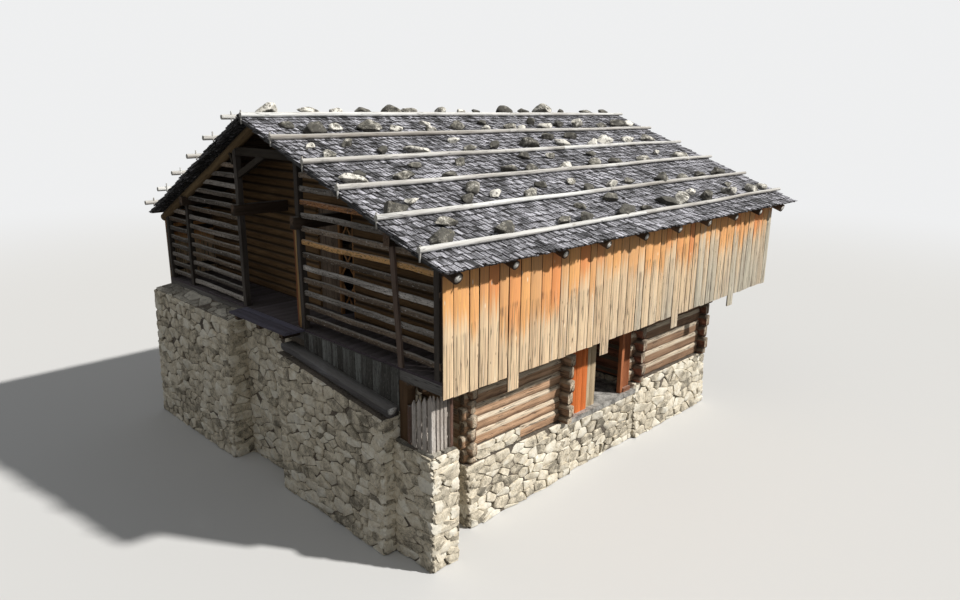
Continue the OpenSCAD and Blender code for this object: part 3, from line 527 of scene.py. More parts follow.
def floor_finish(name, colour, back):
    """Plain floor that passes into the backdrop's colour far from the barn, for the camera only."""
    f = Finish(name)
    seen = f.node("ShaderNodeLightPath", output="Is Camera Ray")
    diffuse = f.node("ShaderNodeBsdfDiffuse",
                     sockets={"Color": f.mix(seen, shade(colour, FLOOR_BOUNCE), colour)}, output="BSDF")
    glow = f.node("ShaderNodeEmission", sockets={"Color": back, "Strength": 1.0}, output="Emission")
    span = f.node("ShaderNodeVectorMath", {"operation": "LENGTH"}, {0: f.place}, output="Value")
    blend = f.node("ShaderNodeMixShader", output="Shader", sockets={
        0: f.smooth(span, *FLOOR_FADE) * seen, 1: diffuse, 2: glow})
    f.node_output(blend)
    return f.material


# Meshes

# Angles in degrees: edges sharper than these stay sharp
BOARD_CREASE = 32.0
TIMBER_CREASE = 38.0
STONE_CREASE = 42.0
ROCK_CREASE = 48.0
POLE_CREASE = 50.0


class Heap:
    """Collects small solids, each with its own tone, into one mesh."""

    def __init__(self):
        self.points = []
        self.corners = []
        self.sizes = []
        self.tones = []
        self.total = 0

    def add(self, points, faces, tone):
        """Adds a solid: points as rows, faces as lists of point numbers."""
        points = np.asarray(points, float).reshape(-1, 3)
        for face in faces:
            self.corners.append(np.asarray(face) + self.total)
            self.sizes.append(len(face))
        self.points.append(points)
        self.tones.append(np.full(len(points), tone))
        self.total += len(points)

    def add_turned(self, points, centre, axes, faces, tone):
        """Adds a solid round a centre, with its points measured along three axes."""
        self.add(np.array(centre) + points @ np.array([list(axis) for axis in axes]), faces, tone)

    def mesh(self, name, crease=BOARD_CREASE):
        """The mesh of all that was added, with its tones."""
        points = np.concatenate(self.points)
        corners = np.concatenate(self.corners)
        sizes = np.array(self.sizes)
        mesh = bpy.data.meshes.new(name)
        mesh.vertices.add(len(points))
        mesh.vertices.foreach_set("co", points.ravel())
        mesh.loops.add(len(corners))
        mesh.loops.foreach_set("vertex_index", corners)
        mesh.polygons.add(len(sizes))
        mesh.polygons.foreach_set("loop_start", np.cumsum(sizes) - sizes)
        mesh.update(calc_edges=True)
        mesh.attributes.new("tone", "FLOAT", "POINT").data.foreach_set("value", np.concatenate(self.tones))
        soften(mesh, crease)
        return mesh

    def settle(self, name, material, slot, replaces=(), crease=BOARD_CREASE):
        """Makes a piece of the barn out of all that was added."""
        settle(name, self.mesh(name, crease), material, slot, replaces)


def soften(mesh, degrees):
    """Smooth shading that keeps edges sharper than this angle."""
    mesh.shade_smooth()
    mesh.set_sharp_from_angle(angle=math.radians(degrees))


def settle(name, mesh, material, slot, replaces=()):
    """Makes a piece of the barn out of a finished mesh."""
    piece = bpy.data.objects.new(name, mesh)
    bpy.context.scene.collection.objects.link(piece)
    mesh.materials.clear()
    mesh.materials.append(material)
    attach(piece, "root")
    if replaces:
        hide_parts(*replaces)


def node_points(node):
    """Corners of a CAD node's mesh."""
    return [vertex.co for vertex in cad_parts[node].data.vertices]


def merged_copy(node):
    """A CAD node's mesh, its triangles joined into whole faces."""
    bm = bmesh.new()
    bm.from_mesh(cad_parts[node].data)
    bmesh.ops.remove_doubles(bm, verts=bm.verts, dist=1e-5)
    bmesh.ops.dissolve_limit(bm, angle_limit=math.radians(0.6), verts=bm.verts, edges=bm.edges)
    return bm


def solids(bm):
    """Lists of the vertices that hang together, in order of their first vertex."""
    bm.verts.ensure_lookup_table()
    seen = set()
    groups = []
    for first in bm.verts:
        if first in seen:
            continue
        seen.add(first)
        group = [first]
        for vertex in group:
            for edge in vertex.link_edges:
                other = edge.other_vert(vertex)
                if other not in seen:
                    seen.add(other)
                    group.append(other)
        groups.append(group)
    return groups


def solid_points(node):
    """Corners of each solid of a CAD node, as rows."""
    bm = merged_copy(node)
    found = [np.array([vertex.co for vertex in group]) for group in solids(bm)]
    bm.free()
    return found


def solid_boxes(node):
    """Lowest and highest corner of each solid of a CAD node."""
    return [(Vector(points.min(0)), Vector(points.max(0))) for points in solid_points(node)]


# Metres over which a timber's bend fades at its ends, and how close together its bends and nicks lie
END_FADE = 0.4
BEND_SCALE = 0.55
NICK_SCALE = 5.5


def cut_across(bm, axis, low, high, pitch):
    """Cuts a mesh into lengths along an axis, between two corners of its box."""
    start, end = sorted((axis.dot(low), axis.dot(high)))
    for k in range(1, int((end - start) / pitch) + 1):
        place = start + (k - 0.37) * pitch
        if place < end:
            bmesh.ops.bisect_plane(bm, geom=bm.verts[:] + bm.edges[:] + bm.faces[:], dist=1e-6,
                                   plane_co=axis * place, plane_no=axis)


def worked_copy(node, grain, step, sway, wear, across, seed):
    """A CAD node as an uneven timber: cut into short lengths, bent a little and worn.

    The bend fades at both ends of each solid, so that it stays on what carries it."""
    bm = merged_copy(node)
    low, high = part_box(node)
    axis = Vector(grain).normalized()
    for way, pitch in [(axis, step), *across]:
        cut_across(bm, way, low, high, pitch)
    bmesh.ops.triangulate(bm, faces=bm.faces[:])
    rng = np.random.default_rng(seed)
    layer = bm.verts.layers.float.new("tone")
    for group in solids(bm):
        tone = rng.random()
        shift = Vector(rng.random(3) * 50)
        places = [axis.dot(vertex.co) for vertex in group]
        first, last = min(places), max(places)
        for vertex, place in zip(group, places):
            fade = min(1.0, min(place - first, last - place) / END_FADE)
            bend = noise.noise_vector(vertex.co * BEND_SCALE + shift) * sway * fade
            nick = noise.noise_vector(vertex.co * NICK_SCALE + shift) * wear
            vertex.co += bend + nick
            vertex[layer] = tone
    mesh = bpy.data.meshes.new(node)
    bm.to_mesh(mesh)
    bm.free()
    soften(mesh, TIMBER_CREASE)
    return mesh


class Face:
    """A flat face of the barn: a corner, the way across it, the way up it and the way out."""

    def __init__(self, corner, across, up):
        self.corner = Vector(corner)
        self.across = Vector(across).normalized()
        self.up = Vector(up).normalized()
        self.out = self.across.cross(self.up).normalized()

    def at(self, s, t, w=0.0):
        return self.corner + self.across * s + self.up * t + self.out * w


# Width of a board's rounded edge and how far that edge drops
ROUND_OVER = 0.008
EDGE_DROP = 0.004


def board(heap, face, columns, thickness, tone, rng, rows=7, crown=0.003, wave=0.003):
    """A board on a face. Columns are (place across, foot, head); its outer side is uneven."""
    shift = Vector(rng.random(3) * 40)
    last = len(columns) - 1
    middle = (columns[0][0] + columns[last][0]) / 2
    half = (columns[last][0] - columns[0][0]) / 2
    inner, outer = [], []
    for j, (s, foot, head) in enumerate(columns):
        drop = EDGE_DROP if j in (0, last) else 0.0
        for i in range(rows + 1):
            t = foot + (head - foot) * i / rows
            uneven = noise.noise(Vector((s * 2.0, t * 1.3, 0)) + shift) * wave
            inner.append(face.at(s, t, -thickness))
            outer.append(face.at(s, t, crown * (1 - ((s - middle) / half) ** 2) + uneven - drop))

    def at(level, j, i):
        return (level * (last + 1) + j) * (rows + 1) + i

    faces = []
    for j in range(last):
        for i in range(rows):
            faces.append((at(1, j, i), at(1, j + 1, i), at(1, j + 1, i + 1), at(1, j, i + 1)))
            faces.append((at(0, j, i), at(0, j, i + 1), at(0, j + 1, i + 1), at(0, j + 1, i)))
        faces.append((at(0, j, 0), at(0, j + 1, 0), at(1, j + 1, 0), at(1, j, 0)))
        faces.append((at(0, j, rows), at(1, j, rows), at(1, j + 1, rows), at(0, j + 1, rows)))
    for i in range(rows):
        faces.append((at(0, 0, i), at(1, 0, i), at(1, 0, i + 1), at(0, 0, i + 1)))
        faces.append((at(0, last, i), at(0, last, i + 1), at(1, last, i + 1), at(1, last, i)))
    heap.add(inner + outer, faces, tone)


def plain_board(heap, face, left, right, foot, head, thickness, tone, rng, ragged=0.0, rows=6):
    """A board with straight sides and, where asked, a ragged foot."""
    places = (left, left + ROUND_OVER, (left + right) / 2, right - ROUND_OVER, right)
    drop = rng.uniform(-ragged, ragged)
    tilt = rng.uniform(-ragged, ragged) * 0.5
    columns = [(s, foot + drop + tilt * (s - left) / (right - left), head) for s in places]
    board(heap, face, columns, thickness, tone, rng, rows)


def widths(total, low, high, rng):
    """Uneven widths between low and high that fill a total."""
    count = max(1, round(total / ((low + high) / 2)))
    parts = rng.uniform(low, high, count)
    return parts * total / parts.sum()


def row_of_boards(face, span, sizes, gap, feet, head, thickness, rng, ragged=0.0, rows=6):
    """Boards side by side. Sizes are the narrowest and the widest, feet the foot at both ends."""
    heap = Heap()
    place = 0.0
    for width in widths(span, *sizes, rng):
        foot = feet[0] + (feet[1] - feet[0]) * ((place + width / 2) / span)
        plain_board(heap, face, place + gap, place + width - gap, foot, head, thickness, rng.random(), rng,
                    ragged, rows)
        place += width
    return heap


def clipped(polygon, point, way):
    """Part of a convex polygon behind the line through point, across way."""
    kept = []
    for a, b in zip(polygon, polygon[1:] + polygon[:1]):
        da = (a[0] - point[0]) * way[0] + (a[1] - point[1]) * way[1]
        db = (b[0] - point[0]) * way[0] + (b[1] - point[1]) * way[1]
        if da <= 0:
            kept.append(a)
        if (da < 0 < db) or (db < 0 < da):
            t = da / (da - db)
            kept.append((a[0] + t * (b[0] - a[0]), a[1] + t * (b[1] - a[1])))
    return kept


# Rubble: width of a stone over its height, metres that stones stand proud and reach into the wall,
# the same for corner stones, and the smallest face in square metres that gets a stone
FLATNESS = 1.75
STONE_PROUD = 0.042
STONE_SINK = 0.03
QUOIN_PROUD = 0.038
SMALLEST_STONE = 0.0025


def stone_cells(outline, size, rng):
    """Convex cells of uneven stones that fill an outline, wider than they are high."""
    spread = np.array(outline)
    low, high = spread.min(0), spread.max(0)
    course = size / FLATNESS
    seeds = []
    t = low[1] - course / 2
    while t < high[1] + course:
        s = low[0] - size * rng.uniform(0.1, 0.9)
        while s < high[0] + size:
            if rng.random() > 0.12:
                seeds.append((s + rng.uniform(-0.25, 0.25) * size, t + rng.uniform(-0.38, 0.38) * course))
            s += size * rng.uniform(0.5, 1.6)
        t += course * rng.uniform(0.65, 1.35)
    seeds = np.array(seeds)
    metric = seeds * (1.0, FLATNESS)
    cells = []
    for number, seed in enumerate(seeds):
        gap = metric - metric[number]
        distance = np.hypot(gap[:, 0], gap[:, 1])
        polygon = [tuple(corner) for corner in outline]
        for other in np.argsort(distance)[1:22]:
            middle = (seed + seeds[other]) / 2
            way = gap[other] * (1.0, FLATNESS)
            polygon = clipped(polygon, middle, way)
            if len(polygon) < 3:
                break
        if len(polygon) >= 3:
            cells.append(polygon)
    return cells


def rounded(polygon, rng):
    """The polygon with its corners cut twice, as rows of points."""
    points = np.array(polygon)
    following = np.roll(points, -1, axis=0)
    cut = rng.uniform(0.03, 0.19, len(points))[:, None]
    ring = np.empty((2 * len(points), 2))
    ring[0::2] = points * (1 - cut) + following * cut
    ring[1::2] = points * cut + following * (1 - cut)
    return ring


def area(polygon):
    x, y = np.array(polygon).T
    return 0.5 * abs(np.dot(x, np.roll(y, -1)) - np.dot(y, np.roll(x, -1)))


def ring_faces(rings, sides):
    """Faces between rings of points that follow each other."""
    faces = []
    for a in range(0, (rings - 1) * sides, sides):
        for k in range(sides):
            j = (k + 1) % sides
            faces.append((a + k, a + j, a + sides + j, a + sides + k))
    return faces


def face_stones(heap, face, outline, size, joint, rng, proud=STONE_PROUD):
    """Lays uneven rubble stones on a face, inside an outline across and up it."""
    for polygon in stone_cells(outline, size, rng):
        if area(polygon) < SMALLEST_STONE:
            continue
        ring = rounded(polygon, rng)
        centre = ring.mean(0)
        reach = np.hypot(*(ring - centre).T)
        shrink = np.clip(1 - joint / 2 / reach, 0.3, 1)[:, None]
        outer = centre + (ring - centre) * shrink
        bulge = proud * rng.uniform(0.35, 1.3)
        lean = rng.uniform(-0.16, 0.16, 2)
        points = []
        for scale, height in ((1.0, -STONE_SINK), (0.99, bulge * 0.62), (0.90, bulge * 0.97),
                              (0.45, bulge * 1.03)):
            flat_ring = centre + (outer - centre) * scale
            uneven = rng.uniform(-0.09, 0.09, len(ring)) * proud
            heights = height + (flat_ring - centre) @ lean * (height > 0) + uneven * (height > 0)
            points += [face.at(s, t, w) for (s, t), w in zip(flat_ring, heights)]
        n = len(ring)
        points.append(face.at(centre[0], centre[1], bulge * rng.uniform(1.0, 1.12)))
        faces = [tuple(range(n - 1, -1, -1)), *ring_faces(4, n)]
        faces += [(3 * n + i, 3 * n + (i + 1) % n, 4 * n) for i in range(n)]
        heap.add(points, faces, rng.random())


def tube(heap, centres, radii, tone, sides, lumps=0.0, rng=None):
    """A round timber through a row of centres, with closed ends."""
    centres = [Vector(c) for c in centres]
    way = (centres[-1] - centres[0]).normalized()
    side = way.orthogonal().normalized()
    other = way.cross(side)
    points = []
    for centre, radius in zip(centres, radii):
        for k in range(sides):
            angle = math.tau * k / sides
            r = radius * (1 + (lumps * rng.uniform(-1, 1) if lumps else 0))
            points.append(centre + (side * math.cos(angle) + other * math.sin(angle)) * r)
    faces = ring_faces(len(centres), sides)
    faces.append(tuple(range(sides - 1, -1, -1)))
    faces.append(tuple((len(centres) - 1) * sides + k for k in range(sides)))
    heap.add(points, faces, tone)


def ball(detail):
    """Points and faces of a round ball of triangles."""
    bm = bmesh.new()
    bmesh.ops.create_icosphere(bm, subdivisions=detail, radius=1.0)
    points = np.array([vertex.co for vertex in bm.verts])
    faces = [tuple(vertex.index for vertex in face.verts) for face in bm.faces]
    bm.free()
    return points, faces


# Roof stones: planes that cut one and how sharp their edges are. Corner stones: how square they are.
PLANES = 12
SHARPNESS = 24
SQUARENESS = 14


def rock(heap, shape, centre, axes, radii, tone, rng):
    """A worn block of stone: a ball cut by blunt planes, flattened where it lies."""
    directions, faces = shape
    normals = rng.normal(size=(PLANES, 3))
    normals /= np.linalg.norm(normals, axis=1)[:, None]
    reach = rng.uniform(0.60, 0.95, PLANES)
    facing = np.clip(directions @ normals.T, 0, None) / reach
    blunt = (facing ** SHARPNESS).sum(1) ** (1 / SHARPNESS)
    radius = 1 / np.maximum(blunt, 0.85)
    body = directions * radius[:, None] * radii
    shift = Vector(rng.random(3) * 60)
    ragged = [noise.turbulence_vector(Vector(point) * 5.0 + shift, 3, False) for point in body]
    body += np.array(ragged) * 0.13 * min(radii)
    body[:, 2] = np.maximum(body[:, 2], -radii[2] * 0.55)
    heap.add_turned(body, centre, axes, faces, tone)


def worn_block(heap, shape, centre, axes, radii, tone, rng):
    """A roughly squared block: a ball drawn out into a box with worn, uneven faces."""
    directions, faces = shape
    squared = (np.abs(directions) ** SQUARENESS).sum(1) ** (-1 / SQUARENESS)
    shift = Vector(rng.random(3) * 60)
    body = directions * squared[:, None] * radii
    uneven = [noise.noise_vector(Vector(point) * 7.0 + shift) * 0.016 for point in body]
    heap.add_turned(body + np.array(uneven), centre, axes, faces, tone)


def quoins(heap, shape, foot, head, ways, rng):
    """Corner stones up an edge of a wall, long and short by turns along its two faces."""
    height = (head - foot).length
    level = 0.0
    turned = rng.random() < 0.5
    while level < height - 0.06:
        tall = min(rng.uniform(0.18, 0.34), height - level)
        reach = [rng.uniform(0.34, 0.56), rng.uniform(0.20, 0.30)]
        if turned:
            reach.reverse()
        middle = foot + (head - foot) * ((level + tall / 2) / height)
        for way, length_along in zip(ways, reach):
            middle = middle + way * (length_along - QUOIN_PROUD) / 2
        radii = ((reach[0] + QUOIN_PROUD) / 2, (reach[1] + QUOIN_PROUD) / 2, tall / 2 - 0.008)
        worn_block(heap, shape, middle, (*ways, UP), radii, rng.random(), rng)
        level += tall
        turned = not turned


class Slope:
    """One roof slope, read off its CAD node: its top plane from the eave to the ridge."""

    def __init__(self, node, side):
        corners = node_points(node)
        low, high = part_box(node)
        eave = max(corners, key=lambda c: side * c.x)
        ridge = max(corners, key=lambda c: c.z)
        rise = Vector((ridge.x - eave.x, 0, ridge.z - eave.z))
        self.node = node
        self.side = side
        self.rise = rise.length
        self.run = high.y - low.y
        start = (eave.x, low.y if side > 0 else high.y, eave.z)
        self.face = Face(start, (0, side, 0), rise)

    def turn(self):
        """Rotation from the plain axes to across, up and out of the slope."""
        return Matrix((self.face.across, self.face.up, self.face.out)).transposed().to_euler()

    def lift_at(self, x):
        """Height of the top plane over a place along X."""
        foot = self.face.corner
        return foot.z + (x - foot.x) * self.face.up.z / self.face.up.x


# Roof

# Metres between two shingles, and by which they sink below the CAD slope's top
SHINGLE_GAP = 0.019
SHINGLE_SEAT = 0.006

# Sideways shift of a shingle's edges in widths, its lift in thicknesses, and its hollow in heights
EDGE_SHIFT = 0.34
LIFT = 0.45
CUP = 0.22


def shingle_recipe():
    """Geometry Nodes tree that lays courses of uneven split shingles on a slope."""
    tree = bpy.data.node_groups.new("shingle_courses", "GeometryNodeTree")
    asked = {"Courses": "Int", "Per course": "Int", "Seed": "Int", "Width": "Float", "Exposure": "Float",
             "Length": "Float", "Thickness": "Float", "Rise": "Float", "Gap": "Float", "Jitter": "Float",
             "Start": "Vector", "Turn": "Vector", "Finish": "Material"}
    for name, kind in asked.items():
        tree.interface.new_socket(name, in_out="INPUT", socket_type="NodeSocket" + kind)
    tree.interface.new_socket("Geometry", in_out="OUTPUT", socket_type="NodeSocketGeometry")
    p = Plan(tree)
    given = tree.nodes.new("NodeGroupInput")
    ask = {name: Wire(p, given.outputs[name]) for name in asked}

    def chance(low, high, key, salt):
        return p.node("FunctionNodeRandomValue", {"data_type": "FLOAT"},
                      {2: low, 3: high, "ID": key, "Seed": ask["Seed"] + salt}, output=1)

    def marked(geometry, name, value):
        return p.node("GeometryNodeStoreNamedAttribute", {"data_type": "FLOAT", "domain": "POINT"},
                      {"Geometry": geometry, "Name": name, "Value": value})

    index = p.node("GeometryNodeInputIndex")
    row = p.math("FLOOR", (index + 0.5) / ask["Per course"])
    column = index - row * ask["Per course"]
    seam = row * 700.0 + column
    left = (column + chance(-EDGE_SHIFT, EDGE_SHIFT, seam, 1)) * ask["Width"]
    right = (column + 1.0 + chance(-EDGE_SHIFT, EDGE_SHIFT, seam + 1.0, 1)) * ask["Width"]
    across = (left + right) * 0.5
    up = row * ask["Exposure"] + chance(-0.5, 0.5, index, 2) * ask["Jitter"]
    lift = chance(0.0, LIFT, index, 3) * ask["Thickness"]
    long = p.math("MINIMUM", ask["Length"] * chance(0.92, 1.08, index, 4), ask["Rise"] - up + 0.05)
    thick = ask["Thickness"] * chance(0.7, 1.25, index, 5)
    tilt = p.math("ARCTAN2", ask["Thickness"], ask["Exposure"])
    points = p.node("GeometryNodePoints", sockets={"Count": ask["Courses"] * ask["Per course"],
                                                   "Position": p.vector(across, up, lift)})
    toned = marked(points, "tone", chance(0.0, 1.0, index, 6))
    cube = p.node("GeometryNodeMeshCube", sockets={"Size": (1, 1, 1), "Vertices X": 3, "Vertices Y": 2,
                                                   "Vertices Z": 2}, output="Mesh")
    spot = p.node("GeometryNodeInputPosition")
    cup = CUP - abs(p.dot(spot, ALONG_X)) * (2 * CUP)
    split = p.node("GeometryNodeSetPosition", sockets={
        "Geometry": marked(cube, "reach", p.dot(spot, ALONG_Y) + 0.5), "Offset": p.vector(0.0, 0.5, cup)})
    laid = p.node("GeometryNodeInstanceOnPoints", sockets={
        "Points": toned, "Instance": split,
        "Rotation": p.vector(0.0 - tilt + chance(-0.012, 0.012, index, 7), chance(-0.03, 0.03, index, 8),
                             chance(-0.02, 0.02, index, 9)),
        "Scale": p.vector(right - left - ask["Gap"], long, thick)})
    solid = p.node("GeometryNodeRealizeInstances", sockets={"Geometry": laid})
    turned = p.node("FunctionNodeEulerToRotation", sockets={0: ask["Turn"]})
    placed = p.node("GeometryNodeTransform", sockets={"Geometry": solid, "Translation": ask["Start"],
                                                      "Rotation": turned})
    done = p.node("GeometryNodeSetMaterial", sockets={"Geometry": placed, "Material": ask["Finish"]})
    tree.links.new(done.socket, tree.nodes.new("NodeGroupOutput").inputs[0])
    return tree


def grown(name, tree, settings):
    """A plain mesh from a Geometry Nodes tree with these inputs."""
    holder = bpy.data.objects.new(name, bpy.data.meshes.new(name))
    bpy.context.scene.collection.objects.link(holder)
    modifier = holder.modifiers.new("grow", "NODES")
    modifier.node_group = tree
    sockets = {item.name: item.identifier for item in tree.interface.items_tree if item.in_out == "INPUT"}
    for key, value in settings.items():
        modifier[sockets[key]] = value
    ready = holder.evaluated_get(bpy.context.evaluated_depsgraph_get())
    mesh = bpy.data.meshes.new_from_object(ready)
    holder.modifiers.clear()
    bpy.data.objects.remove(holder)
    return mesh


def courses(name, tree, slope, sizes, finish, first=0.0, width=None, start=0.0, rows=None, sunk=0.0, seed=0,
            jitter=0.09, replaces=()):
    """One field of shingles on a slope: from first along it and start up it, sunk below its top."""
    width = width or slope.run
    count = rows or math.ceil((slope.rise - start) / sizes.exposure)
    per_course = max(1, round(width / sizes.shingle_width))
    mesh = grown(name, tree, {
        "Courses": count, "Per course": per_course, "Seed": sizes.seed + seed,
        "Width": width / per_course, "Exposure": sizes.exposure, "Length": sizes.shingle_length,
        "Thickness": sizes.shingle_thickness, "Rise": slope.rise - start, "Gap": SHINGLE_GAP,
        "Jitter": jitter, "Start": slope.face.at(first, start, -sunk), "Turn": slope.turn(),
        "Finish": finish})
    settle(name, mesh, finish, "shingles", replaces)


SLOPES = (("east", Slope("roof_east", 1)), ("west", Slope("roof_west", -1)))

# Under-layers at the eaves and the verges: metres from one to the next along the slope and down,
# width of the verge's strip and reach of every other one past it
EAVE_STEP = 0.02
EAVE_DROP = 0.019
VERGE_STEP = 0.05
VERGE_DROP = 0.021
VERGE_STRIP = 0.34
VERGE_REACH = 0.035


class BARN_OT_shingles(bpy.types.Operator):
    """Lays the shingles on both slopes, with their layers at the eaves and the verges"""

    bl_idname = "barn.shingles"
    bl_label = "Shingles"

    def execute(self, context):
        sizes = context.scene.barn_roof
        tree = shingle_recipe()
        for name, slope in SLOPES:
            finish = shingle_finish("shingles_" + name, slope.face.up, context.scene.barn_colours.shingle)
            reach = sizes.eave_reach
            courses("shingles_" + name, tree, slope, sizes, finish, start=-reach, sunk=SHINGLE_SEAT,
                    replaces=(slope.node,))
            for layer in (1, 2, 3):
                courses(f"eave_layer_{name}_{layer}", tree, slope, sizes, finish, rows=1,
                        start=EAVE_STEP * layer - reach, sunk=SHINGLE_SEAT + layer * EAVE_DROP,
                        seed=layer * 10)
            for layer in (1, 2, 3, 4):
                out = VERGE_REACH * (layer % 2)
                for end, first in (("low", -out), ("high", slope.run - VERGE_STRIP + out)):
                    courses(f"verge_layer_{name}_{end}_{layer}", tree, slope, sizes, finish, first=first,
                            width=VERGE_STRIP, start=VERGE_STEP * layer,
                            sunk=SHINGLE_SEAT + layer * VERGE_DROP, seed=40 + layer * 7, jitter=0.16)
        return {"FINISHED"}


# Bed of boards and battens under the shingles: metres below the slope's top, from its verges,
# widths and thicknesses
BED_DEPTH = 0.066
BED_INSET = 0.03
BED_BOARD = 0.012
BATTEN_DEPTH = 0.080
BATTEN = (0.055, 0.022)


class BARN_OT_battens(bpy.types.Operator):
    """Lays battens and a closed bed of boards under the shingles of both slopes"""

    bl_idname = "barn.battens"
    bl_label = "Battens"

    def execute(self, context):
        sizes = context.scene.barn_roof
        rng = np.random.default_rng(sizes.seed)
        finish = wood("batten_wood", ALONG_Y, shade(context.scene.barn_colours.old_brown, 0.9))
        for name, slope in SLOPES:
            heap = Heap()
            bed = Face(slope.face.at(0, 0, -BED_DEPTH), slope.face.across, slope.face.up)
            low = 0.02
            for width in widths(slope.rise - 0.05, 0.14, 0.24, rng):
                plain_board(heap, bed, BED_INSET, slope.run - BED_INSET, low, low + width - 0.004,
                            BED_BOARD, rng.random(), rng, rows=2)
                low += width
            bed.corner = slope.face.at(0, 0, -BATTEN_DEPTH)
            width, thickness = BATTEN
            for k in range(int(slope.rise / sizes.batten_pitch)):
                foot = 0.10 + k * sizes.batten_pitch
                plain_board(heap, bed, BED_INSET / 2, slope.run - BED_INSET / 2, foot, foot + width,
                            thickness, rng.random(), rng, rows=1)
            heap.settle("battens_" + name, finish, "brown_wood")
        return {"FINISHED"}


def pole_lines(node, slope):
    """Place along X, ends along Y and peg of each pole of a CAD node."""
    lines = []
    for points in solid_points(node):
        low, high = points.min(0), points.max(0)
        foot = points[points[:, 2] < low[2] + 1e-3]
        lines.append(((low[0] + high[0]) / 2, low[1], high[1], foot[:, 1].mean(), low[2], high[2]))
    return sorted(lines, key=lambda line: -slope.side * line[0])


# Poles: metres from one ring to the next, metres that the two trunks lie side by side, radii of a peg
POLE_STEP = 0.32
SPLICE = 0.25
PEG_RADII = (0.016, 0.021, 0.017)


class BARN_OT_poles(bpy.types.Operator):
    """Lays the peeled weighting poles with their pegs"""

    bl_idname = "barn.poles"
    bl_label = "Weighting poles"

    def execute(self, context):
        sizes = context.scene.barn_roof
        rng = np.random.default_rng(sizes.seed + 3)
        finish = wood("peeled_pole", ALONG_Y, tuple(context.scene.barn_colours.peeled), contrast=1.8,
                      top_bleach_and_light=0.35, bleached_and_lit=(0.70, 0.69, 0.65), ends=(0.72, 0.69, 0.63), check=0.85,
                      knots=0.6)
        for name, slope in SLOPES:
            heap = Heap()
            for line in pole_lines("roof_poles_" + name, slope):
                self.pole(heap, slope, line, sizes.pole_girth / 2, rng)
            heap.settle("poles_" + name, finish, "peeled_poles", ("roof_poles_" + name,), POLE_CREASE)
        return {"FINISHED"}

    def pole(self, heap, slope, line, radius, rng):
        """A pole spliced from two trunks, thinner towards their tips."""
        x, near, far, peg_y, peg_low, peg_high = line
        seat = radius * 0.92
        splice = near + (far - near) * rng.uniform(0.42, 0.6)
        shift = Vector(rng.random(3) * 30)
        for first, last, thick in ((near, splice + SPLICE, 1.04), (splice, far, 0.96)):
            count = int((last - first) / POLE_STEP)
            centres, radii = [], []
            for k in range(count + 1):
                y = first + (last - first) * k / count
                sway = noise.noise_vector(Vector((0, y * 0.34, thick)) + shift) * 0.05
                foot = Vector((x + sway.x, y, slope.lift_at(x + sway.x)))
                centres.append(foot + slope.face.out * (seat + 0.012 + abs(sway.z) * 0.4))
                taper = 1.06 - 0.16 * k / count
                swell = 1 + 0.12 * noise.noise(Vector((y * 1.7, 3, 0)) + shift)
                radii.append(radius * thick * taper * swell)
            tube(heap, centres, radii, rng.random(), 11, 0.05, rng)
        lean = rng.uniform(-0.02, 0.02)
        middle = (peg_low + peg_high) / 2
        tube(heap, [(x - lean, peg_y, peg_low), (x, peg_y, middle), (x + lean, peg_y, peg_high)], PEG_RADII,
             rng.random(), 8)


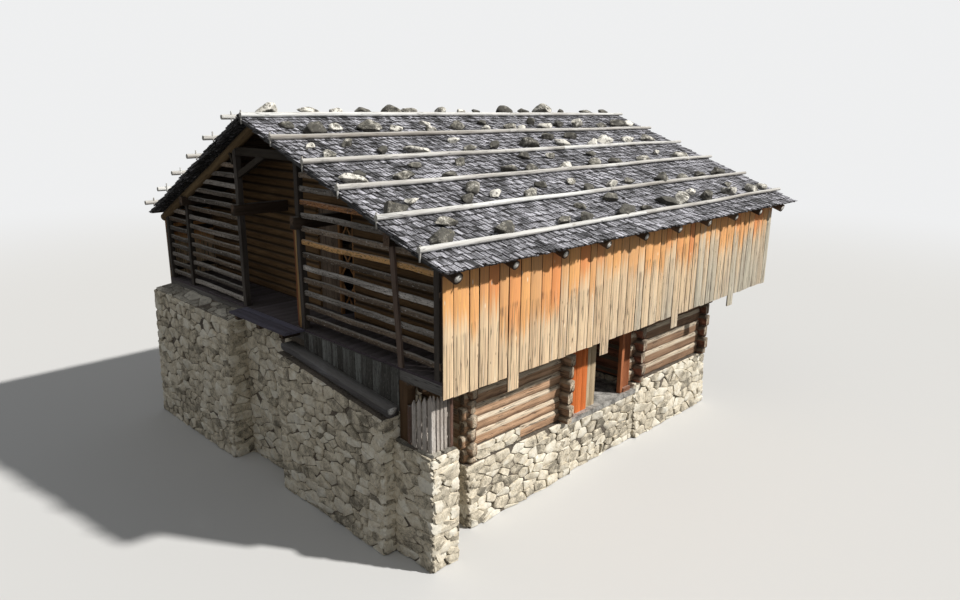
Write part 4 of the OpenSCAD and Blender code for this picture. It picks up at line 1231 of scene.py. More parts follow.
# Stones above each pole of the clad slope, judged in the photo: metres from the
# front verge, metres above the eave, width. Rows go from the lowest pole to the ridge.
ROOF_STONES = (
    ((0.7, 0.9, .5), (1.2, 1.4, .4), (2.2, 0.8, .5), (4.0, 0.8, .4), (4.7, 0.8, .4), (5.1, 1.3, .3),
     (6.2, 0.8, .6), (6.4, 1.4, .4), (7.0, 0.8, .3), (8.1, 0.9, .6), (8.8, 0.9, .5), (9.7, 1.2, .3),
     (9.9, 0.8, .5), (11.3, 0.9, .5), (12.0, 1.3, .3), (12.5, 0.8, .5), (13.3, 0.9, .4)),
    ((0.5, 2.0, .5), (1.1, 2.3, .3), (2.4, 2.1, .4), (2.9, 2.5, .4), (3.3, 2.2, .3), (4.2, 2.0, .4),
     (5.0, 2.4, .3), (6.1, 2.4, .3), (6.3, 2.0, .4), (7.2, 2.0, .4), (8.1, 2.1, .4), (9.5, 2.0, .5),
     (10.6, 2.0, .4), (11.5, 2.0, .4), (12.6, 2.0, .5)),
    ((0.5, 3.3, .5), (0.8, 3.6, .3), (1.7, 3.3, .4), (2.4, 3.8, .3), (2.9, 3.2, .3), (3.7, 3.8, .3),
     (4.7, 3.2, .5), (5.5, 3.2, .4), (6.0, 3.9, .3), (6.8, 3.2, .4), (6.9, 3.8, .3), (8.0, 3.2, .4),
     (8.6, 3.8, .3), (9.0, 3.2, .5), (10.4, 3.2, .4), (11.6, 3.6, .3), (12.4, 3.2, .5)),
    ((0.6, 5.0, .3), (0.7, 4.5, .4), (1.5, 5.0, .3), (2.1, 4.6, .3), (3.0, 4.5, .5), (4.6, 5.0, .3),
     (4.7, 4.5, .4), (5.6, 4.6, .4), (6.9, 4.5, .5), (8.1, 5.0, .4), (8.3, 4.6, .4), (9.1, 5.0, .4),
     (9.6, 4.5, .4), (10.3, 4.6, .5), (11.5, 4.6, .4), (12.6, 4.6, .5)),
    ((0.7, 6.1, .3), (1.2, 5.8, .6), (1.8, 5.9, .3), (2.6, 5.8, .5), (3.4, 5.8, .3), (4.4, 5.7, .3),
     (4.6, 6.1, .3), (5.4, 5.8, .5), (6.4, 5.7, .3), (6.6, 6.1, .3), (7.3, 5.7, .4), (7.8, 5.7, .3),
     (8.6, 6.1, .4), (8.8, 5.7, .4), (9.6, 5.9, .4), (10.4, 5.8, .5), (11.6, 5.7, .4), (12.4, 5.7, .5),
     (13.2, 5.8, .4)),
    ((0.7, 6.9, .5), (1.7, 6.9, .4), (2.5, 6.9, .3), (3.3, 6.9, .4), (4.1, 6.9, .5), (4.7, 6.9, .4),
     (5.8, 6.9, .4), (6.5, 6.9, .3), (7.1, 6.9, .3), (8.2, 6.9, .5), (9.1, 6.9, .3), (10.0, 6.9, .6),
     (10.9, 6.9, .3), (12.2, 6.9, .4), (13.1, 6.9, .4)),
)


class BARN_OT_roof_stones(bpy.types.Operator):
    """Lays the weighting stones above the poles and along the ridge"""

    bl_idname = "barn.roof_stones"
    bl_label = "Roof stones"

    def execute(self, context):
        colours = context.scene.barn_colours
        sizes = context.scene.barn_roof
        rng = np.random.default_rng(sizes.seed + 8)
        finish = stone("roof_stone", colours.field_stone, (0.86, 0.83, 0.75), 0.80, 0.85, 1.7)
        (_, east), (_, west) = SLOPES
        heap = Heap()
        shape = ball(4)
        for row in ROOF_STONES:
            for along, up, width in row:
                self.lay(heap, shape, east, along, up, width, rng)
        heap.settle("stones_east", finish, "flagstone", crease=ROCK_CREASE)
        heap = Heap()
        shape = ball(3)
        for x, *_ in pole_lines("roof_poles_west", west)[:-1]:
            above = (x - west.face.corner.x) / west.face.up.x + 0.2
            for k in range(sizes.west_stones):
                along = west.run * (k + rng.uniform(0.15, 0.85)) / sizes.west_stones
                up = above + max(0.0, rng.normal(0.0, 0.22))
                self.lay(heap, shape, west, along, up, rng.uniform(0.24, 0.56), rng)
        heap.settle("stones_west", finish, "flagstone", crease=ROCK_CREASE)
        return {"FINISHED"}

    def lay(self, heap, shape, slope, along, up, width, rng):
        """One stone with its flat side on the shingles."""
        half = width / 2
        radii = np.array((half * 1.18, half * rng.uniform(0.52, 0.78), half * rng.uniform(0.42, 0.66)))
        angle = rng.uniform(-0.5, 0.5)
        across = slope.face.across * math.cos(angle) + slope.face.up * math.sin(angle)
        axes = (across, slope.face.out.cross(across), slope.face.out)
        centre = slope.face.at(along, up, radii[2] * 0.5 + 0.008)
        rock(heap, shape, centre, axes, radii, rng.random() ** 1.15, rng)


# Timber

# Courses of the two log rooms, metres between the gable's rails and from the floor to the first,
# height of an inner log and width of the picket screen's posts
NEAR_COURSES = 7
FAR_COURSES = 6
RAIL_STEP = 0.276
FIRST_RAIL = 0.255
INNER_LOG = 0.21
SCREEN_POST = 0.085


def stable_logs(room, count, colour, cross, ends, pale):
    """Finishes of one log room's walls: logs along Y, and logs along X half a course higher."""
    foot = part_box(room + "_wall_south")[0].z
    course = (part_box(room + "_wall_east")[1].z - foot) / count
    return (hewn_log(room + "_log_y", ALONG_Y, colour, foot, course, (0.23, 0.17, 0.12)),
            hewn_log(room + "_log_x", ALONG_X, cross, foot - course / 2, course, ends, pale))


def timbers(colours):
    """What becomes of each timber node: finish, slot, grain, length of a cut, bend and wear.

    Some have cuts in a second direction as well: axis and length."""
    brown = tuple(colours.old_brown)
    grey = tuple(colours.old_grey)
    hewn = tuple(colours.hewn)
    dusk = shade(brown, 0.75)
    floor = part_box("loft_floor")[1].z
    post = wood("post_wood", UP, (0.060, 0.050, 0.042), ends=shade(brown, 2.0))
    plate = wood("plate_wood", ALONG_Y, dusk, ends=shade(brown, 2.2))
    beam = wood("beam_wood", ALONG_X, (0.125, 0.115, 0.105), ends=(0.30, 0.28, 0.25))
    old_rail = {"contrast": 3.2, "top_bleach_and_light": 0.60, "knots": 0.8, "pits": 0.9, "spread": 0.5,
                "warm": (0.16, 0.105, 0.06)}
    rail = wood("rail_wood", ALONG_X, shade(grey, 1.05, 0.05), **old_rail)
    # Painted sunlight: two rails of the east wing tinted orange where the sun falls on them
    sunlit_rails = [(UP, middle - 0.1, middle + 0.1, tinted) for middle, tinted in (
        (floor + FIRST_RAIL + 6 * RAIL_STEP, (0.55, 0.30, 0.10)),
        (floor + FIRST_RAIL + 9 * RAIL_STEP, (0.32, 0.14, 0.05)))]
    rail_east = wood("rail_wood_east", ALONG_X, shade(grey, 1.5, 0.03), bands=sunlit_rails, **old_rail)
    screen_low, screen_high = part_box("picket_screen")
    red_brown = (0.16, 0.065, 0.035)
    picket = wood("picket_wood", UP, shade(grey, 3.5), contrast=1.6, pits=0.4, ends=shade(grey, 2.0),
                  bands=[(ALONG_X, screen_low.x - 0.1, screen_low.x + SCREEN_POST, red_brown),
                         (ALONG_Y, screen_high.y - SCREEN_POST, screen_high.y + 0.1, red_brown)])
    cut_end = (0.72, 0.58, 0.42)
    near_y, near_x = stable_logs("near_room", NEAR_COURSES, shade(hewn, 1.0, 0.04), shade(hewn, 0.7),
                                 cut_end, 0.6)
    far_y, far_x = stable_logs("far_room", FAR_COURSES, shade(hewn, 0.44, 0.08), (0.34, 0.14, 0.08),
                               shade(cut_end, 0.7), 0.3)
    red = wood("red_brown_wood", UP, (0.36, 0.125, 0.052), contrast=1.8)
    jambs = solid_boxes("door_jambs")
    split = max(box[0].x for box in jambs) - 0.005
    jamb = wood("jamb_wood", UP, (0.22, 0.09, 0.04), contrast=1.7,
                bands=[(ALONG_X, split, split + 0.3, (0.42, 0.26, 0.11))])
    (_, east), (_, west) = SLOPES
    rafter_east = wood("rafter_wood_east", east.face.up, shade(brown, 1.5), ends=(0.88, 0.86, 0.80))
    rafter_west = wood("rafter_wood_west", west.face.up, (0.24, 0.165, 0.085), contrast=1.7,
                       ends=(0.40, 0.36, 0.28))
    brace = wood("brace_wood", ALONG_X, (0.027, 0.020, 0.013), contrast=1.6, top_bleach_and_light=0.04)
    leaning = wood("leaning_wood", UP, (0.14, 0.10, 0.078))
    inner_log = wood("inner_log", ALONG_X, (0.255, 0.152, 0.070), contrast=2.2, top_bleach_and_light=0.30,
                     seam_shading=(floor, INNER_LOG))
    lattice = wood("lattice_wood", UP, (0.30, 0.145, 0.055))
    sill = wood("sill_wood", ALONG_Y, (0.24, 0.105, 0.06))
    prop = wood("prop_wood", UP, (0.135, 0.080, 0.042), contrast=1.8)
    split_log = wood("split_log", ALONG_X, (0.142, 0.137, 0.14), contrast=1.9, ends=(0.86, 0.85, 0.82))
    upwards = (UP, 0.11)
    return {
        "front_posts": (post, "brown_wood", UP, 0.30, 0.020, 0.006),
        "back_posts": (post, "brown_wood", UP, 0.30, 0.020, 0.006),
        "side_posts": (post, "brown_wood", UP, 0.40, 0.010, 0.005),
        "loft_posts": (post, "brown_wood", UP, 0.40, 0.015, 0.005),
        "door_jambs": (jamb, "red_brown_wood", UP, 0.30, 0.010, 0.004),
        "leaning_post": (leaning, "grey_wood", UP, 0.25, 0.012, 0.005),
        "wing_plates": (plate, "brown_wood", ALONG_Y, 0.30, 0.010, 0.006),
        "door_braces": (brace, "brown_wood", ALONG_X, 0.25, 0.008, 0.005),
        "front_rails_west": (rail, "grey_wood", ALONG_X, 0.16, 0.034, 0.009),
        "front_rails_east": (rail_east, "grey_wood", ALONG_X, 0.16, 0.034, 0.009),
        "back_rails": (rail, "grey_wood", ALONG_X, 0.30, 0.030, 0.009),
        "inner_plates": (plate, "brown_wood", ALONG_Y, 0.40, 0.012, 0.006),
        "eave_plates": (plate, "brown_wood", ALONG_Y, 0.60, 0.010, 0.005),
        "ridge_purlin": (plate, "brown_wood", ALONG_Y, 0.60, 0.010, 0.005),
        "side_girts": (plate, "brown_wood", ALONG_Y, 0.60, 0.006, 0.004),
        "floor_beams": (beam, "grey_wood", ALONG_X, 0.45, 0.010, 0.006),
        "bridge_bearers": (plate, "grey_wood", ALONG_Y, 0.15, 0.004, 0.004),
        "rafters_east": (rafter_east, "brown_wood", ALONG_X, 0.35, 0.012, 0.006),
        "rafters_west": (rafter_west, "brown_wood", ALONG_X, 0.35, 0.012, 0.006),
        "inner_log_wall": (inner_log, "brown_wood", ALONG_X, 0.5, 0.004, 0.007),
        "inner_lattice": (lattice, "brown_wood", UP, 0.4, 0.004, 0.003),
        "passage_posts": (red, "red_brown_wood", UP, 0.25, 0.010, 0.005),
        "passage_sill": (sill, "red_brown_wood", ALONG_Y, 0.1, 0.004, 0.004),
        "corner_prop": (prop, "brown_wood", UP, 0.2, 0.012, 0.007),
        "skirt_log": (split_log, "grey_wood", ALONG_X, 0.2, 0.018, 0.010),
        "picket_screen": (picket, "grey_wood", UP, 0.18, 0.006, 0.003),
        "near_room_wall_east": (near_y, "hewn_log", ALONG_Y, 0.17, 0.014, 0.012, upwards),
        "near_room_wall_west": (near_y, "hewn_log", ALONG_Y, 0.5, 0.010, 0.008),
        "near_room_wall_south": (near_x, "hewn_log", ALONG_X, 0.25, 0.012, 0.010, upwards),
        "near_room_wall_north": (near_x, "hewn_log", ALONG_X, 0.25, 0.012, 0.010),
        "far_room_wall_east": (far_y, "hewn_log", ALONG_Y, 0.17, 0.014, 0.012, upwards),
        "far_room_wall_west": (far_y, "hewn_log", ALONG_Y, 0.5, 0.010, 0.008),
        "far_room_wall_south": (far_x, "hewn_log", ALONG_X, 0.25, 0.012, 0.010),
        "far_room_wall_north": (far_x, "hewn_log", ALONG_X, 0.25, 0.012, 0.010),
    }


class BARN_OT_timber(bpy.types.Operator):
    """Turns the CAD timbers into uneven, weathered ones"""

    bl_idname = "barn.timber"
    bl_label = "Timber"

    def execute(self, context):
        seed = context.scene.barn_walls.seed
        for number, (node, made) in enumerate(timbers(context.scene.barn_colours).items()):
            finish, slot, grain, step, sway, wear, *across = made
            mesh = worked_copy(node, grain, step, sway, wear, across, seed + number)
            settle("worked_" + node, mesh, finish, slot, (node,))
        return {"FINISHED"}


# Boards

def notches(node, face):
    """Places (from, to, floor) where rafters pass through the boards of a cladding node."""
    low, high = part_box(node)
    found = {}
    for point in node_points(node):
        if low.z + 0.5 < point.z < high.z - 0.02:
            along = round((point - face.corner).dot(face.across), 4)
            found.setdefault(round(point.z, 3), set()).add(along)
    spans = []
    for level, places in found.items():
        edges = sorted(places)
        spans += [(edges[k], edges[k + 1], level) for k in range(0, len(edges) - 1, 2)]
    return sorted(spans)


def clad(heap, face, left, right, foot, head, holes, thickness, rng, gap, ragged):
    """One cladding board, with the part of each rafter hole that falls in it cut out."""
    left, right = left + gap / 2 * rng.uniform(0.4, 2.4), right - gap / 2 * rng.uniform(0.4, 2.4)
    stops = {left, left + ROUND_OVER, (left + right) / 2, right - ROUND_OVER, right}
    for start, end, _ in holes:
        for place in (start - 0.001, start + 0.001, end - 0.001, end + 0.001):
            if left < place < right:
                stops.add(place)
    drop = rng.uniform(-ragged, ragged)
    tilt = rng.uniform(-ragged, ragged) * 0.6
    columns = []
    for s in sorted(stops):
        top = head
        for start, end, level in holes:
            if start < s < end:
                top = level
        columns.append((s, foot + drop + tilt * (s - left) / (right - left), top))
    board(heap, face, columns, thickness, rng.random(), rng, rows=8, crown=0.004, wave=0.006)


class BARN_OT_cladding(bpy.types.Operator):
    """Hangs the upright boards on both long sides"""

    bl_idname = "barn.cladding"
    bl_label = "Cladding"

    def execute(self, context):
        sizes = context.scene.barn_walls
        colours = context.scene.barn_colours
        for side, name in ((1, "east"), (-1, "west")):
            node = "cladding_" + name
            low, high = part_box(node)
            outer = high.x if side > 0 else low.x
            start = low.y if side > 0 else high.y
            face = Face((outer, start, 0), (0, side, 0), UP)
            finish = weathered_boards(node, low.y, high.y, low.z + 0.3, high.z - 0.3, colours)
            rng = np.random.default_rng(sizes.seed + side)
            heap = Heap()
            holes = notches(node, face)
            gap = sizes.board_gap if side > 0 else sizes.uphill_gap
            for left, right, foot in self.bays(node, face, sizes, rng):
                clad(heap, face, left, right, foot, high.z, holes, high.x - low.x, rng, gap, 0.012)
            settle("boards_" + name, heap.mesh(node), finish, "sunburnt_boards", (node,))
        return {"FINISHED"}

    def bays(self, node, face, sizes, rng):
        """Edges and foot of every board: the few long ones where the CAD has them."""
        low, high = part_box(node)
        points = node_points(node)
        long_edges = sorted({round((p - face.corner).dot(face.across), 3)
                             for p in points if p.z < low.z + LEVEL})
        total = high.y - low.y
        common = min((p.z for p in points if p.z > low.z + 0.05), default=low.z)
        if len(long_edges) <= 2:
            marks, common = [0.0, total], low.z
        else:
            marks = [0.0, *long_edges, total]
        for k, (a, b) in enumerate(zip(marks, marks[1:])):
            if len(marks) > 2 and k % 2:
                yield a, b, low.z
                continue
            place = a
            for width in widths(b - a, sizes.board_low, sizes.board_high, rng):
                yield place, place + width, common
                place += width


class BARN_OT_planks(bpy.types.Operator):
    """Lays the loft floor, the bridge, the skirt boards, the passage boards and the inner panel"""

    bl_idname = "barn.planks"
    bl_label = "Planks and boards"

    def execute(self, context):
        sizes = context.scene.barn_walls
        rng = np.random.default_rng(sizes.seed + 20)
        self.loft_floor(sizes.plank_width, rng)
        self.bridge(rng)
        self.skirt(rng)
        self.passage(rng)
        self.panel(rng)
        return {"FINISHED"}

    def loft_floor(self, mean, rng):
        low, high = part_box("loft_floor")
        face = Face((low.x, low.y, high.z), ALONG_X, ALONG_Y)
        heap = row_of_boards(face, high.x - low.x, (mean * 0.8, mean * 1.2), 0.003, (0.0, 0.0),
                             high.y - low.y, high.z - low.z, rng)
        finish = wood("floor_plank", ALONG_Y, (0.060, 0.048, 0.055), top_bleach_and_light=0.1)
        heap.settle("floor_planks", finish, "grey_wood", ("loft_floor",))

    def bridge(self, rng):
        low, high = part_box("bridge_planks")
        face = Face((low.x, high.y, high.z), -ALONG_Y, ALONG_X)
        heap = row_of_boards(face, high.y - low.y, (0.14, 0.20), 0.004, (0.0, 0.0), high.x - low.x,
                             high.z - low.z, rng, 0.03, 12)
        finish = wood("bridge_plank", ALONG_X, (0.115, 0.108, 0.140), contrast=1.7, top_bleach_and_light=0.3,
                      bleached_and_lit=(0.18, 0.175, 0.225))
        heap.settle("bridge_boards", finish, "grey_wood", ("bridge_planks",))

    def skirt(self, rng):
        """The boards at the foot of the gable, which follow the slope of the ground."""
        low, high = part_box("skirt_boards")
        corners = node_points("skirt_boards")
        feet = (min(c.z for c in corners if c.x < low.x + LEVEL),
                min(c.z for c in corners if c.x > high.x - LEVEL))
        face = Face((low.x, low.y, 0), ALONG_X, UP)
        heap = row_of_boards(face, high.x - low.x, (0.13, 0.27), 0.004, feet, high.z, high.y - low.y, rng,
                             0.02, 7)
        finish = wood("skirt_wood", UP, (0.094, 0.092, 0.083), contrast=2.9, knots=0.6, pits=0.6)
        heap.settle("skirt_planks", finish, "grey_wood", ("skirt_boards",))

    def passage(self, rng):
        """The orange jamb board and the pale one beside the passage doorway."""
        orange = wood("orange_board", UP, (0.62, 0.16, 0.040), contrast=1.35, check=0.4)
        pale = wood("pale_board", UP, (0.50, 0.39, 0.25), contrast=1.4)
        boxes = sorted(solid_boxes("passage_boards"), key=lambda box: box[0].y)
        names = (("jamb_boards", orange, "red_brown_wood"), ("pale_boards", pale, "grey_wood"))
        for (low, high), (name, finish, slot) in zip(boxes, names):
            face = Face((high.x, low.y, 0), ALONG_Y, UP)
            heap = row_of_boards(face, high.y - low.y, (0.16, 0.24), 0.004, (low.z, low.z), high.z,
                                 high.x - low.x, rng)
            heap.settle(name, finish, slot, ("passage_boards",))

    def panel(self, rng):
        low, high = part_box("inner_board_panel")
        face = Face((low.x, low.y, 0), ALONG_X, UP)
        heap = row_of_boards(face, high.x - low.x, (0.14, 0.24), 0.003, (low.z, low.z), high.z,
                             high.y - low.y, rng)
        finish = wood("panel_board", UP, (0.15, 0.108, 0.076), contrast=1.9, knots=0.4, pits=0.3)
        heap.settle("panel_boards", finish, "brown_wood", ("inner_board_panel",))


# Stonework

def outlined(span, first, last):
    """Outline of a face this wide, with its height at both ends."""
    return [(0, 0), (span, 0), (span, last), (0, first)]


def box_faces(low, high, sides):
    """Faces of a box with their outlines, for the sides named by the letters of the compass."""
    width, depth, height = high - low
    places = {
        "s": ((low.x, low.y, low.z), ALONG_X, width),
        "n": ((high.x, high.y, low.z), -ALONG_X, width),
        "e": ((high.x, low.y, low.z), ALONG_Y, depth),
        "w": ((low.x, high.y, low.z), -ALONG_Y, depth),
    }
    for side in sides:
        corner, across, span = places[side]
        yield Face(corner, across, UP), outlined(span, height, height)


def leaning_face(*corners):
    """A face through four corners, foot first, and its outline."""
    foot_start, foot_end, head_start, head_end = (Vector(corner) for corner in corners)
    across = (foot_end - foot_start).normalized()
    rise = head_start - foot_start
    face = Face(foot_start, across, rise - across * rise.dot(across))
    outline = [((c - foot_start).dot(face.across), (c - foot_start).dot(face.up))
               for c in (foot_start, foot_end, head_end, head_start)]
    return face, outline


def wall_faces():
    """Faces of rubble that show, by CAD node."""
    faces = {}
    low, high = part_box("rubble_wall_west")
    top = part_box("rubble_wall_south")[0].x
    faces["rubble_wall_west"] = [leaning_face(
        (low.x, high.y, low.z), (low.x, low.y, low.z), (top, high.y, high.z), (top, low.y, high.z))]
    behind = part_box("rubble_wall_north")[1].y
    faces["rubble_wall_west"] += box_faces(Vector((top, behind, low.z)), high, "ne")
    faces["rubble_wall_south"] = south_faces()
    faces["rubble_apron"] = apron_faces()
    low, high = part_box("rubble_wall_north")
    batter = Vector((0, high.y - wall_end("rubble_wall_north", high.z), 0))
    faces["rubble_wall_north"] = [leaning_face(
        (high.x, high.y, low.z), (low.x, high.y, low.z),
        Vector((high.x, high.y, high.z)) - batter, Vector((low.x, high.y, high.z)) - batter)]
    for node in ("rubble_base_near_room", "rubble_base_far_room"):
        faces[node] = base_faces(node)
    low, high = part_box("rubble_corner_pier")
    faces["rubble_corner_pier"] = list(box_faces(low, high, "senw"))
    boxes = sorted(solid_boxes("passage_base"), key=lambda box: box[0].x)
    faces["passage_base"] = [*box_faces(*boxes[-1], "e"), *box_faces(*boxes[0], "w")]
    return faces


def wall_edge(x, y, top, to_east, to_north, x_top=None, y_top=None):
    """An edge of rubble that may lean: foot, head and the ways along its two faces."""
    head = Vector((x if x_top is None else x_top, y if y_top is None else y_top, top))
    return Vector((x, y, 0)), head, (ALONG_X * to_east, ALONG_Y * to_north)


def wall_corners():
    """Edges of rubble that show, by CAD node."""
    edges = {}
    low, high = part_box("rubble_wall_west")
    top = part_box("rubble_wall_south")[0].x
    edges["rubble_wall_west"] = [wall_edge(low.x, high.y, high.z, 1, -1, top),
                                 wall_edge(high.x, high.y, high.z, -1, -1)]
    for node in ("rubble_base_near_room", "rubble_base_far_room"):
        low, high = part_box(node)
        head = base_top(node)
        edges[node] = [
            wall_edge(high.x, low.y, head.z, -1, 1, head.x),
            wall_edge(high.x, high.y, head.z, -1, -1, head.x),
            wall_edge(low.x, low.y, head.z, 1, 1), wall_edge(low.x, high.y, head.z, 1, -1)]
    low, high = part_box("rubble_corner_pier")
    edges["rubble_corner_pier"] = [
        wall_edge(low.x, low.y, high.z, 1, 1), wall_edge(high.x, low.y, high.z, -1, 1),
        wall_edge(low.x, high.y, high.z, 1, -1), wall_edge(high.x, high.y, high.z, -1, -1)]
    low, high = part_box("rubble_apron")
    head_y, head_z = apron_head()
    edges["rubble_apron"] = [wall_edge(low.x, low.y, head_z, 1, 1, y_top=head_y),
                             wall_edge(high.x, low.y, head_z, -1, 1, y_top=head_y)]
    left, right, top_left, top_right = ledge_outline()
    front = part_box("rubble_wall_south")[0].y
    edges["rubble_wall_south"] = [wall_edge(left, front, top_left, 1, 1),
                                  wall_edge(right, front, top_right, -1, 1)]
    return edges


# Between the feet of the rubble and its upper edges
LOWEST_HEAD = 1.0


def base_top(node):
    """Outer upper corner of a rubble ring, on the clad side."""
    upper = [c for c in node_points(node) if c.z > LOWEST_HEAD]
    return Vector((max(c.x for c in upper), 0, min(c.z for c in upper)))


def wall_end(node, level):
    """Largest Y of a node's corners at a height."""
    return max(c.y for c in node_points(node) if abs(c.z - level) < LEVEL)


def base_faces(node):
    """Faces of a rubble ring: a leaning clad side, two plain ends and the uphill side."""
    low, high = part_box(node)
    head = base_top(node)
    faces = [leaning_face((high.x, low.y, low.z), (high.x, high.y, low.z), (head.x, low.y, head.z),
                          (head.x, high.y, head.z))]
    faces += box_faces(low, Vector((head.x, high.y, head.z)), "snw")
    raised = [c for c in node_points(node) if c.z > head.z + LEVEL]
    if raised:
        start = Vector((max(c.x for c in raised), min(c.y for c in raised), head.z))
        span, tall = max(c.y for c in raised) - start.y, raised[0].z - head.z
        faces.append((Face(start, ALONG_Y, UP), outlined(span, tall, tall)))
    return faces


def south_faces():
    """The cross wall under the bridge, its ends, and the ledge under the split log."""
    low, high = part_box("rubble_wall_south")
    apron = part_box("rubble_apron")[1]
    left, right, top_left, top_right = ledge_outline()
    depth = apron.y - low.y
    return [
        *box_faces(Vector((low.x, apron.y, low.z)), high, "ew"),
        *box_faces(Vector((apron.x, apron.y, low.z)), Vector((left, apron.y, high.z)), "s"),
        (Face((left, low.y, 0), ALONG_X, UP), outlined(right - left, top_left, top_right)),
        (Face((right, low.y, 0), ALONG_Y, UP), outlined(depth, top_right, top_right)),
        (Face((left, apron.y, 0), -ALONG_Y, UP), outlined(depth, top_left, top_left)),
    ]


def ledge_outline():
    """Left and right end and height at both of the ledge under the split log."""
    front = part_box("rubble_wall_south")[0].y
    ledge = [c for c in node_points("rubble_wall_south") if c.y < front + LEVEL]
    left, right = min(c.x for c in ledge), max(c.x for c in ledge)
    return (left, right, max(c.z for c in ledge if c.x < left + LEVEL),
            max(c.z for c in ledge if c.x > right - LEVEL))


def apron_head():
    """Place along Y and height of the apron's upper front edge."""
    corners = node_points("rubble_apron")
    head_y = min(c.y for c in corners if c.z > LOWEST_HEAD)
    return head_y, max(c.z for c in corners if c.y < head_y + LEVEL)


def apron_faces():
    """The apron's leaning front and its two sides."""
    low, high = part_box("rubble_apron")
    head_y, head_z = apron_head()
    depth = high.y - low.y
    side = [(0, 0), (depth, 0), (depth, high.z), (head_y - low.y, head_z)]
    mirrored = [(depth - s, t) for s, t in reversed(side)]
    return [
        leaning_face((low.x, low.y, 0), (high.x, low.y, 0), (low.x, head_y, head_z),
                     (high.x, head_y, head_z)),
        (Face((high.x, low.y, 0), ALONG_Y, UP), side),
        (Face((low.x, high.y, 0), -ALONG_Y, UP), mirrored),
    ]


class BARN_OT_rubble(bpy.types.Operator):
    """Faces the rubble walls and bases with stones"""

    bl_idname = "barn.rubble"
    bl_label = "Rubble"

    def execute(self, context):
        sizes = context.scene.barn_walls
        colours = context.scene.barn_colours
        finish = stone("rubble_stone", colours.limestone, (0.94, 0.89, 0.76), 0.18, 0.42, 1.15)
        bed = mortar("joint_earth")
        corners = wall_corners()
        shape = ball(3)
        for number, (node, faces) in enumerate(wall_faces().items()):
            rng = np.random.default_rng(sizes.seed + 50 + number)
            heap = Heap()
            for face, outline in faces:
                face_stones(heap, face, outline, sizes.rubble_size, sizes.joint, rng)
            for foot, head, ways in corners.get(node, ()):
                quoins(heap, shape, foot, head, ways, rng)
            heap.settle("stones_" + node, finish, "rubble", crease=STONE_CREASE)
            dress(node, bed)
        dress("passage_floor", stone("threshold_stone", (0.50, 0.48, 0.44), (0.74, 0.71, 0.65), 0.25, 0.3))
        return {"FINISHED"}


def dress(node, finish):
    """Gives a CAD node's own mesh a finish."""
    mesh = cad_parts[node].data
    mesh.materials.clear()
    mesh.materials.append(finish)


class BARN_OT_flagstones(bpy.types.Operator):
    """Lays flat stones on the apron and the corner pier"""

    bl_idname = "barn.flagstones"
    bl_label = "Flagstones"

    def execute(self, context):
        sizes = context.scene.barn_walls
        rng = np.random.default_rng(sizes.seed + 90)
        finish = stone("flagstone", (0.40, 0.37, 0.31), (0.72, 0.68, 0.58), 0.35, 0.7)
        heap = Heap()
        low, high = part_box("rubble_apron")
        head_y, head_z = apron_head()
        face, outline = leaning_face((low.x, head_y, head_z), (high.x, head_y, head_z),
                                     (low.x, high.y, high.z), (high.x, high.y, high.z))
        face_stones(heap, face, outline, 0.5, sizes.joint, rng, proud=0.025)
        low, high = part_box("rubble_corner_pier")
        face = Face((low.x, low.y, high.z), ALONG_X, ALONG_Y)
        depth = high.y - low.y
        face_stones(heap, face, outlined(high.x - low.x, depth, depth), 0.45, sizes.joint, rng, proud=0.02)
        heap.settle("flagstones", finish, "flagstone", crease=STONE_CREASE)
        return {"FINISHED"}


# Stage

# Metres from the cladding, from the gable and above the lowest ground
CAMERA_BEYOND_CLADDING = 8.675
CAMERA_BEFORE_GABLE = 7.897
CAMERA_HEIGHT = 8.485
CAMERA_SIGHT = 1000.0
KEY_FROM = Vector((1.0, 0.65, 1.06))
KEY_DEGREES = 2.5
KEY_TINT = (1.0, 0.975, 0.94)
FILL_TINT = (0.96, 0.98, 1.0)
BACKDROP = (0.86, 0.865, 0.87)
FLOOR_RADIUS = 400.0
FLOOR_SIDES = 96


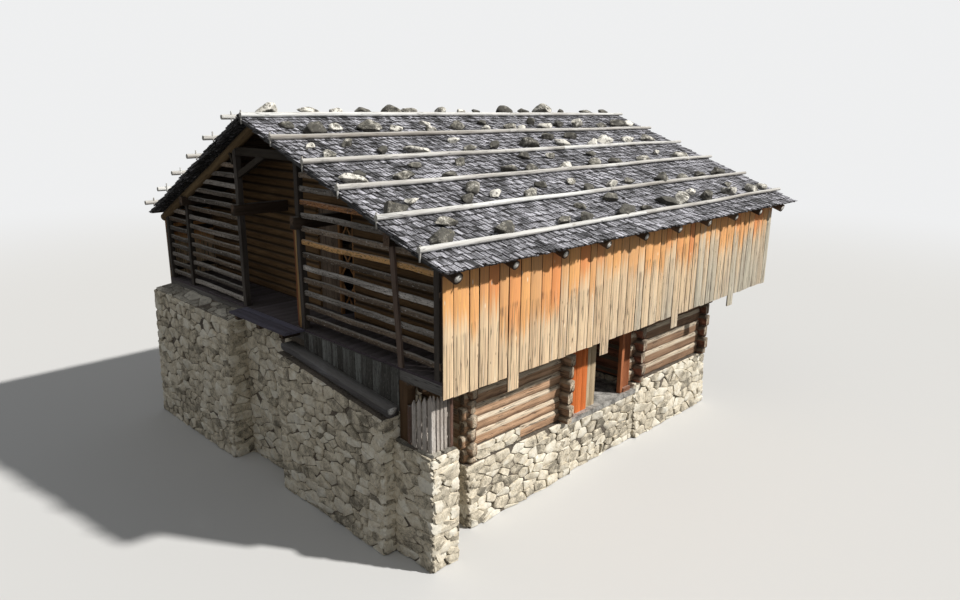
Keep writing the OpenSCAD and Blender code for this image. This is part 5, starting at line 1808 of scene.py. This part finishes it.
class BARN_OT_stage(bpy.types.Operator):
    """Makes the floor, the lights and the camera"""

    bl_idname = "barn.stage"
    bl_label = "Stage"

    def execute(self, context):
        settings = context.scene.barn_stage
        self.camera(context.scene, settings)
        self.lights(context.scene, settings)
        self.floor(tuple(context.scene.barn_colours.floor))
        context.scene.view_settings.view_transform = "Standard"
        return {"FINISHED"}

    def camera(self, scene, settings):
        """The photo's own standpoint, tilted down to take in the whole foot of the barn."""
        yaw, pitch, roll = (math.radians(a) for a in (settings.yaw, settings.pitch, settings.roll))
        back = Vector((math.sin(yaw) * math.cos(pitch), -math.cos(yaw) * math.cos(pitch), math.sin(pitch)))
        level = (-back).cross(UP).normalized()
        upright = back.cross(level)
        right = level * math.cos(roll) + upright * math.sin(roll)
        data = bpy.data.cameras.new("camera")
        data.lens = settings.lens
        data.clip_end = CAMERA_SIGHT
        camera = bpy.data.objects.new("camera", data)
        turn = Matrix((right, back.cross(right), back)).transposed().to_4x4()
        place = Vector((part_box("cladding_east")[1].x + CAMERA_BEYOND_CLADDING,
                        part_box("loft_floor")[0].y - CAMERA_BEFORE_GABLE, CAMERA_HEIGHT))
        camera.matrix_world = Matrix.Translation(place) @ turn
        scene.collection.objects.link(camera)
        scene.camera = camera

    def lights(self, scene, settings):
        data = bpy.data.lights.new("key", "SUN")
        data.energy = settings.sun
        data.angle = math.radians(KEY_DEGREES)
        data.color = KEY_TINT
        key = bpy.data.objects.new("key", data)
        key.rotation_mode = "QUATERNION"
        key.rotation_quaternion = KEY_FROM.to_track_quat("Z", "Y")
        scene.collection.objects.link(key)
        world = bpy.data.worlds.new("studio")
        world.use_nodes = True
        world.node_tree.nodes.clear()
        p = Plan(world.node_tree)
        path = world.node_tree.nodes.new("ShaderNodeLightPath")
        seen = Wire(p, path.outputs["Is Camera Ray"])
        for extra in ("Is Glossy Ray", "Is Transmission Ray"):
            seen = p.math("MAXIMUM", seen, Wire(p, path.outputs[extra]))
        fill = p.node("ShaderNodeBackground", sockets={"Color": FILL_TINT, "Strength": settings.sky})
        wall = p.node("ShaderNodeBackground", sockets={"Color": BACKDROP, "Strength": 1.0})
        blend = p.node("ShaderNodeMixShader", sockets={0: seen, 1: fill, 2: wall})
        out = world.node_tree.nodes.new("ShaderNodeOutputWorld")
        world.node_tree.links.new(blend.socket, out.inputs["Surface"])
        scene.world = world

    def floor(self, colour):
        bm = bmesh.new()
        bmesh.ops.create_circle(bm, cap_ends=True, radius=FLOOR_RADIUS, segments=FLOOR_SIDES)
        mesh = bpy.data.meshes.new("floor")
        bm.to_mesh(mesh)
        bm.free()
        mesh.materials.append(floor_finish("floor", colour, BACKDROP))
        floor = bpy.data.objects.new("floor", mesh)
        bpy.context.scene.collection.objects.link(floor)


# Add-on

STEPS = ("stage", "shingles", "battens", "poles", "roof_stones", "timber", "cladding", "planks", "rubble",
         "flagstones")


class BARN_PT_sidebar(bpy.types.Panel):
    """Lists the steps that finish the barn."""

    bl_label = "Alpine hay barn"
    bl_space_type = "VIEW_3D"
    bl_region_type = "UI"
    bl_category = "Barn"

    def draw(self, context):
        for step in STEPS:
            self.layout.operator("barn." + step)
        for group in ("barn_roof", "barn_walls", "barn_colours", "barn_stage"):
            settings = getattr(context.scene, group)
            box = self.layout.box()
            for name in settings.__annotations__:
                box.prop(settings, name)


GROUPS = {"barn_roof": BARN_PG_roof, "barn_walls": BARN_PG_walls, "barn_colours": BARN_PG_colours,
          "barn_stage": BARN_PG_stage}
CLASSES = (*GROUPS.values(), BARN_OT_stage, BARN_OT_shingles, BARN_OT_battens, BARN_OT_poles,
           BARN_OT_roof_stones, BARN_OT_timber, BARN_OT_cladding, BARN_OT_planks, BARN_OT_rubble,
           BARN_OT_flagstones, BARN_PT_sidebar)


def register():
    for made in CLASSES:
        bpy.utils.register_class(made)
    for name, group in GROUPS.items():
        setattr(bpy.types.Scene, name, PointerProperty(type=group))


def unregister():
    for name in GROUPS:
        delattr(bpy.types.Scene, name)
    for made in reversed(CLASSES):
        bpy.utils.unregister_class(made)


# Blender's noise vectors follow the clock unless they are given a seed
NOISE_SEED = 11


def main():
    noise.seed_set(NOISE_SEED)
    register()
    for step in STEPS:
        getattr(bpy.ops.barn, step)()


if __name__ == "__main__":
    main()
